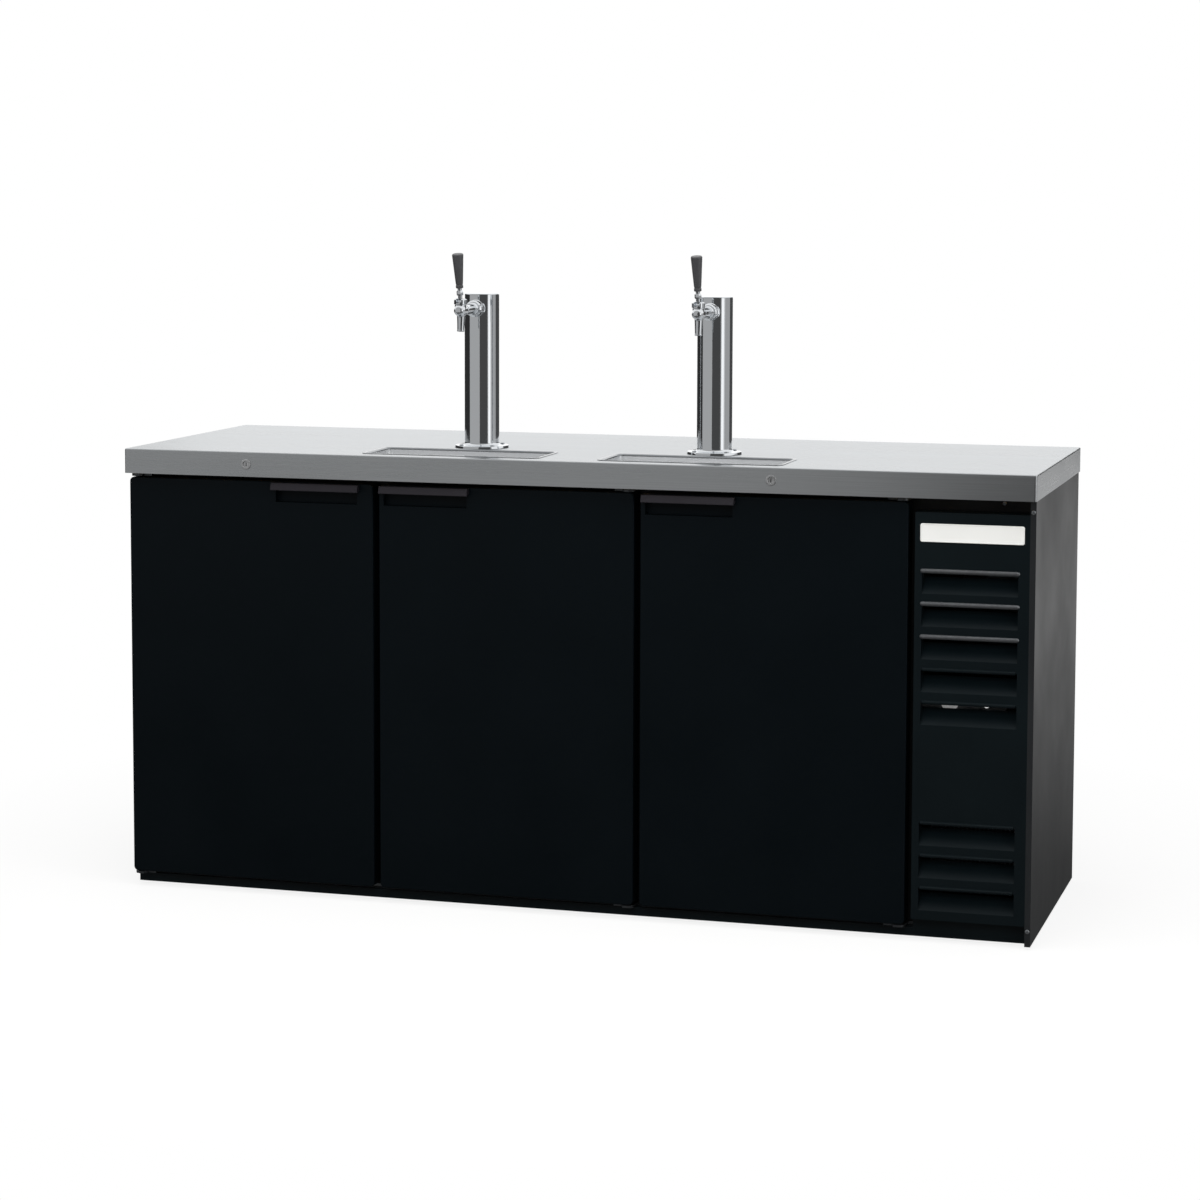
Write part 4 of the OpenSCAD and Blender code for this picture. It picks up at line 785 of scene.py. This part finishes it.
def drip_tray(side):
    """Pressed stainless pan with a rolled rim, drafted walls, and a drain tail under its floor. The rim's top band
    is a darker, glossier grey: its gloss is real, its darker grey is painted shade and reflection, the dark
    outline round the pan.
    """
    node = f"drip_tray_{side}"
    low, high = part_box(node)
    rim = high.z / MM - PAN_T
    floor = rim - PAN_DEPTH
    tail_end = low.z / MM
    steps = [(15, 7, floor), (11, 10, floor + 1.4), (9.6, 11, floor + 5), (9, 12, rim - 0.8), (7.8, 13, rim),
             (0.8, 20, rim), (0, 21, rim + 0.4), (0, 21, rim + 0.9), (0.7, 20, rim + PAN_T)]
    steps += [(wall, 16 - wall / 2, z) for wall, z in arc((5.4, rim + PAN_T - 5), 5, 90, 0, 7)]
    steps += [(11, 10, floor + 6), (12.4, 9, floor + 2.6), (15.5, 6, floor + PAN_T)]
    at = tray_place(node)
    bm = rect_loft(bmesh.new(), inset(RIM_W, RIM_D, steps), at)
    tail = [(7.5, tail_end), (9.5, tail_end), (9.5, tail_end + 28), (11, tail_end + 28), (11, floor + 0.5),
            (7.5, floor + 0.5)]
    strainer = [(0, floor + 1.4), (13, floor + 1.4), (13, floor + 2.1), (11.6, floor + 2.6), (9.5, floor + 2.2),
                (0, floor + 1.9)]
    for outline in (tail, strainer):
        lathe(bm, outline, at, 48)
    pan = piece(f"pressed_drip_pan_{side}", bm, PAN_STAINLESS, "cabinet", [node])
    # The rim's top band takes the darker grey: painted shade round the pan.
    pan.data.materials.append(RIM_PAINTED_SHADE)
    for face in pan.data.polygons:
        face.material_index = int(face.center.z > (rim - RIM_SHADE_BAND) * MM)


def punched_plate_tree():
    """Geometry Nodes: a rounded plate with a grid of rounded slots punched through it, and its thickness."""
    sizes = ("Width", "Depth", "Corner", "Thickness", "Pitch X", "Pitch Y", "Slot Width", "Slot Length")
    inputs = {label: "NodeSocketFloat" for label in sizes}
    inputs.update({"Columns": "NodeSocketInt", "Rows": "NodeSocketInt", "Finish": "NodeSocketMaterial"})
    tree, size, end, keys = node_tree("punched_plate", inputs)
    plate = add(tree, "GeometryNodeCurvePrimitiveQuadrilateral",
                {"Width": size["Width"], "Height": size["Depth"]})
    outline = add(tree, "GeometryNodeFilletCurve", {"Curve": plate, "Radius": size["Corner"], "Count": 6},
                  mode="POLY")
    slot = add(tree, "GeometryNodeCurvePrimitiveQuadrilateral",
               {"Width": size["Slot Width"], "Height": size["Slot Length"]})
    slot_r = add(tree, "ShaderNodeMath", {0: size["Slot Width"], 1: 0.49}, operation="MULTIPLY")
    hole = add(tree, "GeometryNodeFilletCurve", {"Curve": slot, "Radius": slot_r, "Count": 4}, mode="POLY")
    spans = []
    for count, pitch in (("Columns", "Pitch X"), ("Rows", "Pitch Y")):
        gaps = add(tree, "ShaderNodeMath", {0: size[count], 1: 1.0}, operation="SUBTRACT")
        spans.append(add(tree, "ShaderNodeMath", {0: gaps, 1: size[pitch]}, operation="MULTIPLY"))
    places = add(tree, "GeometryNodeMeshGrid", {"Size X": spans[0], "Size Y": spans[1],
                                                "Vertices X": size["Columns"], "Vertices Y": size["Rows"]})
    holes = add(tree, "GeometryNodeInstanceOnPoints", {"Points": places, "Instance": hole})
    cut = add(tree, "GeometryNodeRealizeInstances", {"Geometry": holes})
    lines = add(tree, "GeometryNodeJoinGeometry", {0: outline})
    fill(tree, lines, {0: cut})
    face = add(tree, "GeometryNodeFillCurve", {"Curve": lines}, mode="TRIANGLES")
    raised = add(tree, "GeometryNodeExtrudeMesh",
                 {"Mesh": face, "Offset Scale": size["Thickness"], "Individual": False})
    under = add(tree, "GeometryNodeFlipFaces", {"Mesh": face})
    closed = add(tree, "GeometryNodeJoinGeometry", {0: raised})
    fill(tree, closed, {0: under})
    welded = add(tree, "GeometryNodeMergeByDistance", {"Geometry": closed, "Distance": 1e-6})
    whole = add(tree, "GeometryNodeRealizeInstances", {"Geometry": welded})
    done = add(tree, "GeometryNodeSetMaterial", {"Geometry": whole, "Material": size["Finish"]})
    fill(tree, end, {0: done})
    return tree, keys


PUNCHED_PLATE = punched_plate_tree()


def drip_grid(side):
    """Punched stainless plate with a turned-down edge, on four feet, in a darker grey that paints the shade of the
    tray's hollow.
    """
    node = f"drip_grid_{side}"
    low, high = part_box(node)
    mid = middle(node)
    width, depth = high.x - low.x, high.y - low.y
    row = (depth - 14 * MM) / SLOT_ROWS
    mesh = grown(bpy.data.meshes.new("grid_start"), *PUNCHED_PLATE, {
        "Width": width - 2 * MM, "Depth": depth - 2 * MM, "Corner": 9.5 * MM, "Thickness": PAN_T * MM,
        "Columns": SLOT_COLUMNS, "Rows": SLOT_ROWS, "Pitch X": (width - 20 * MM) / SLOT_COLUMNS, "Pitch Y": row,
        "Slot Width": 7 * MM, "Slot Length": row - 12 * MM, "Finish": GRID_PAINTED_SHADE})
    mesh.transform(Matrix.Translation((mid.x, mid.y, high.z - PAN_T * MM)))
    bm = bmesh.new()
    bm.from_mesh(mesh)
    top, foot_end = high.z / MM, low.z / MM
    edge = [(0.2, 5), (0, 4.6), (0, 1.2), (0.4, 0.4), (1.2, 0), (2.2, 0), (1.4, 1.4), (1.2, 5)]
    steps = [(wall, 10.5 - wall, top - drop) for wall, drop in edge]
    at = tray_place(node)
    rect_loft(bm, inset(width / MM, depth / MM, steps), at, ring=True)
    foot = rounded([(0, foot_end, 0), (3, foot_end, 0.8), (3, top - 1, 0), (0, top - 1, 0)], 3)
    for i in (-1, 1):
        for j in (-1, 1):
            corner = Vector((i * (width / 2 - 12 * MM), j * (depth / 2 - 12 * MM), 0))
            lathe(bm, foot, Matrix.Translation(corner) @ at, 20)
    piece(f"punched_drip_grid_{side}", bm, GRID_PAINTED_SHADE, f"grid_{side}", [node])


for side_name in SIDES:
    drip_tray(side_name)
    drip_grid(side_name)

# Doors
FACING_IN = Matrix.Rotation(-math.pi / 2, 4, "X")


def panel_place(node):
    """A door panel's own place: origin at the middle of its outer side, Z inwards, in millimetres."""
    mid = middle(node)
    return Matrix.Translation((mid.x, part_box(node)[0].y, mid.z)) @ FACING_IN @ Matrix.Scale(MM, 4)


def panel_size(node):
    """Width, height and thickness of an upright panel, in millimetres."""
    low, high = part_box(node)
    return (high.x - low.x) / MM, (high.z - low.z) / MM, (high.y - low.y) / MM


def door_liner(name):
    """Pressed aluminium liner: raised border, sunk field, and a shallow raised panel in its middle."""
    node = f"door_{name}_liner"
    width, height, depth = panel_size(node)
    border = [(0, 5, 0), (0, 5, depth - 2.4), (0.7, 5, depth - 0.7), (2.4, 5, depth), (25, 8, depth),
              (27.4, 8, depth - 0.7)]
    field = [(30, 9, 3.6), (32, 10, 3), (62, 20, 3), (64, 20, 3.4), (70, 18, 5.6), (73, 17, 6)]
    bm = rect_loft(bmesh.new(), inset(width, height, border + field), panel_place(node))
    piece(f"door_liner_pressed_{name}", bm, LINER, f"door_{name}", [node], 50)


def door_gasket(name):
    """Magnetic gasket: folded bellows under a rounded magnet strip, mitred round the door."""
    node = f"door_{name}_gasket"
    width, height, depth = panel_size(node)
    across = (width - panel_size(f"door_{name}_liner")[0]) / 2 - 2
    folds = [(0.4, 0), (0, 0.06), (0, 0.2), (1.8, 0.3), (1.8, 0.42), (0, 0.52), (0, 0.8), (0.8, 0.95),
             (2.2, 1.0)]
    section = folds + [(across - wall, rise) for wall, rise in reversed(folds)]
    steps = [(wall, 6, rise * depth) for wall, rise in section]
    bm = rect_loft(bmesh.new(), inset(width, height, steps), panel_place(node), ring=True)
    piece(f"door_gasket_bellows_{name}", bm, GASKET_VINYL, f"door_{name}", [node], 50)


def door_pull(name):
    """Extruded pull: flange on the door, web over it, and a lip that leans out, with moulded end cheeks."""
    node = f"door_{name}_pull"
    low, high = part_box(node)
    face, lip, top, bottom = high.y / MM, low.y / MM, high.z / MM, low.z / MM
    wall, lean, flange = 3, 6, 11
    outside = [(face, top, 0), (lip + lean, top, 2.2), (lip, bottom, 1.2), (lip + wall, bottom, 1.2)]
    inside = [(lip + lean + wall, top - wall, 1), (face - wall, top - wall, 1),
              (face - wall, top - flange, 0.8)]
    root = [(face, top - flange, 0)]
    bm = bmesh.new()
    section = [p * MM for p in rounded(outside + inside + root)]
    run_x(bm, section, low.x + wall * MM, high.x - wall * MM)
    cheek = [p * MM for p in rounded(outside + root)]
    for x in (low.x, high.x - wall * MM):
        run_x(bm, cheek, x, x + wall * MM)
    piece(f"door_pull_extruded_{name}", bm, PULL_PVC, f"door_{name}", [node])


for door_name in DOORS:
    door_liner(door_name)
    door_gasket(door_name)
    door_pull(door_name)

# Grille and worktop trim
FACING_OUT = Matrix.Rotation(math.pi / 2, 4, "X")
LIP_R = 5.2 * MM
LIP_BEND = 6 * MM
LIP_X = (766 * MM, 966 * MM)
TOP_LIP_Z = 775 * MM
SLOT_PITCH = 68 * MM
# The slots whose lips get the painted highlight rods.
BRIGHT_SLOTS = 3
SWITCH_LENS_FROM_KNOB = (77 * MM, -2 * MM)
SWITCH_LENS_SUNK = 9 * MM
LOCK_NUT_R = 14 * MM


def bare_badge():
    """Enamelled plate left bare: a thin raised rim round a flat field, its edge turned back."""
    width, height, depth = panel_size("nameplate")
    mid = middle("nameplate")
    at = Matrix.Translation((mid.x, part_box("nameplate")[1].y, mid.z)) @ FACING_OUT @ Matrix.Scale(MM, 4)
    steps = [(0, 4, 0), (0, 4, depth - 1), (0.4, 3.6, depth - 0.2), (0.9, 3.2, depth), (2, 2.4, depth),
             (2.5, 2, depth - 0.5), (3, 2, depth - 0.6)]
    bm = rect_loft(bmesh.new(), inset(width, height, steps), at)
    piece("bare_badge_plate", bm, PLATE_ENAMEL, "cabinet", ["nameplate"])


def louvre_lips():
    """Light grey rods over the beads of the top three slots, their ends bent back into the panel: a painted
    highlight, standing for the line of light that only these slots' lips catch.
    """
    bm = bmesh.new()
    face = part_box("nameplate")[1].y + 1 * MM
    left = arc((LIP_X[0] + LIP_BEND, face + LIP_BEND), LIP_BEND, 180, 270)
    right = arc((LIP_X[1] - LIP_BEND, face + LIP_BEND), LIP_BEND, 270, 360)
    for i in range(BRIGHT_SLOTS):
        height = TOP_LIP_Z - SLOT_PITCH * i
        rod(bm, [Vector((x, y, height)) for x, y in left + right], LIP_R)
    piece("louvre_lips", bm, LIP_PAINTED_HIGHLIGHT, "cabinet")


def switch_lens():
    """Round lens on the control box's switch, seen through the fifth slot. Its glow is a painted highlight: it
    makes the lens a bright mark, as a glint would.
    """
    knob = middle("thermostat_knob")
    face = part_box("control_box")[0].y
    across, up = SWITCH_LENS_FROM_KNOB
    at = Matrix.Translation((knob.x + across, face + SWITCH_LENS_SUNK, knob.z + up)) @ FACING_OUT
    dome = arc((0, -2.6 * MM), 7.4 * MM, 36, 90, 6)
    bm = lathe(bmesh.new(), in_mm((0, -0.5), (6, -0.5), (6, 1.6)) + dome, at, 40)
    piece("pilot_lamp_lens", bm, SWITCH_LENS_PAINTED_GLOW, "cabinet")


def lock_bezels():
    """Lock barrels with a rolled bezel on the worktop's edge and a nut behind it."""
    low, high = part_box("lock_barrels")
    plug_low, plug_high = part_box("lock_plug_left")
    hole = (plug_high.z - plug_low.z) / 2 + 0.2 * MM
    length = high.y - low.y
    outline = [Vector((hole, -0.5 * MM)), Vector((hole + 0.7 * MM, -1.2 * MM))]
    outline += arc((10.6 * MM, -0.4 * MM), 0.8 * MM, -90, 0, 4)
    outline += in_mm((11.4, 0), (10, 0), (10, 2), (14, 2), (14, 7), (10, 7))
    outline += [Vector((10 * MM, length)), Vector((hole, length))]
    bm = bmesh.new()
    for x in (low.x + LOCK_NUT_R, high.x - LOCK_NUT_R):
        lathe(bm, outline, Matrix.Translation((x, low.y, middle("lock_barrels").z)) @ FACING_IN, 64)
    piece("lock_bezels", bm, LOCK_NICKEL, "cabinet", ["lock_barrels"])


bare_badge()
louvre_lips()
switch_lens()
lock_bezels()

# Screws
FRAME_SCREW = (0.927, 0.913)
SIDE_SCREW_X = 0.994
SIDE_SCREW_Z = (0.038, 0.902)
REAR_SCREW_X = (-0.98, 0.0, 0.718, 0.98)
REAR_SCREW_Z = (0.06, 0.49, 0.902)


def cross_head(radius, height):
    """A pan head with a cross recess, a few dozen faces, standing on its origin."""
    bm = bmesh.new()
    turns = 16
    loops = []
    for share, rise in ((1, 0), (1, 0.45), (0.8, 0.8), (0.58, 0.97), (0.26, 1)):
        loops.append([])
        for k in range(turns):
            angle = 2 * math.pi * k / turns
            sunk = 0.55 if k % 4 == 0 and share < 0.6 else 0
            across = radius * share
            spot = (across * math.cos(angle), across * math.sin(angle), height * (rise - sunk))
            loops[-1].append(bm.verts.new(spot))
    for low, high in zip(loops, loops[1:]):
        for k in range(turns):
            bm.faces.new((low[k - 1], low[k], high[k], high[k - 1]))
    bm.faces.new(loops[0])
    pit = bm.verts.new((0, 0, height * 0.35))
    for k in range(turns):
        bm.faces.new((loops[-1][k - 1], loops[-1][k], pit))
    return mesh_of("cross_head", bm)


def screw_tree():
    """Geometry Nodes: one screw head on every point, standing out along the point's own facing."""
    tree, start, end, keys = node_tree("screw_heads",
                                       {"Head": "NodeSocketObject", "Finish": "NodeSocketMaterial"})
    head = add(tree, "GeometryNodeObjectInfo", {"Object": start["Head"]})
    facing = add(tree, "GeometryNodeInputNamedAttribute", {"Name": "facing"}, data_type="FLOAT_VECTOR")
    turn = add(tree, "FunctionNodeAlignRotationToVector", {"Vector": facing}, axis="Z")
    heads = add(tree, "GeometryNodeInstanceOnPoints",
                {"Points": start["Geometry"], "Instance": head.outputs["Geometry"], "Rotation": turn})
    whole = add(tree, "GeometryNodeRealizeInstances", {"Geometry": heads})
    done = add(tree, "GeometryNodeSetMaterial", {"Geometry": whole, "Material": start["Finish"]})
    fill(tree, end, {0: done})
    return tree, keys


SCREW_HEADS = screw_tree()


def screws(name, places, radius, height, stands_for):
    """Screw heads at (point, facing) places."""
    mesh = bpy.data.meshes.new(name)
    mesh.from_pydata([point for point, facing in places], [], [])
    way = mesh.attributes.new("facing", "FLOAT_VECTOR", "POINT")
    way.data.foreach_set("vector", [value for point, facing in places for value in facing])
    head = bpy.data.objects.new("head", cross_head(radius, height))
    made = grown(mesh, *SCREW_HEADS, {"Head": head, "Finish": ZINC})
    bpy.data.objects.remove(head)
    mesh_piece(name, made, ZINC, "cabinet", stands_for, 30)


def panel_screws():
    """Screws over the grille, on the right side panel's front edge, and round the rear sheet."""
    front, rear = (0, -1, 0), (0, 1, 0)
    face, back = (corner.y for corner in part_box("right_side_panel"))
    places = [((FRAME_SCREW[0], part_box("machine_frame")[0].y, FRAME_SCREW[1]), front)]
    places += [((SIDE_SCREW_X, face, z), front) for z in SIDE_SCREW_Z]
    places += [((x, back, z), rear) for x in REAR_SCREW_X for z in REAR_SCREW_Z]
    screws("panel_screw_heads", places, 4.5 * MM, 2.4 * MM, ["panel_screws"])


def tower_screws():
    """Four screws through each column's foot."""
    places = []
    for side in SIDES:
        mid = middle(f"tower_{side}_column")
        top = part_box(f"tower_{side}_column")[0].z + FOOT_THICK
        for k in range(4):
            angle = math.radians(45 + 90 * k)
            spot = (mid.x + FOOT_SCREW_R * math.cos(angle), mid.y + FOOT_SCREW_R * math.sin(angle), top)
            places.append((spot, (0, 0, 1)))
    screws("tower_screw_heads", places, 4.8 * MM, 2.6 * MM, ["tower_screws"])


panel_screws()
tower_screws()
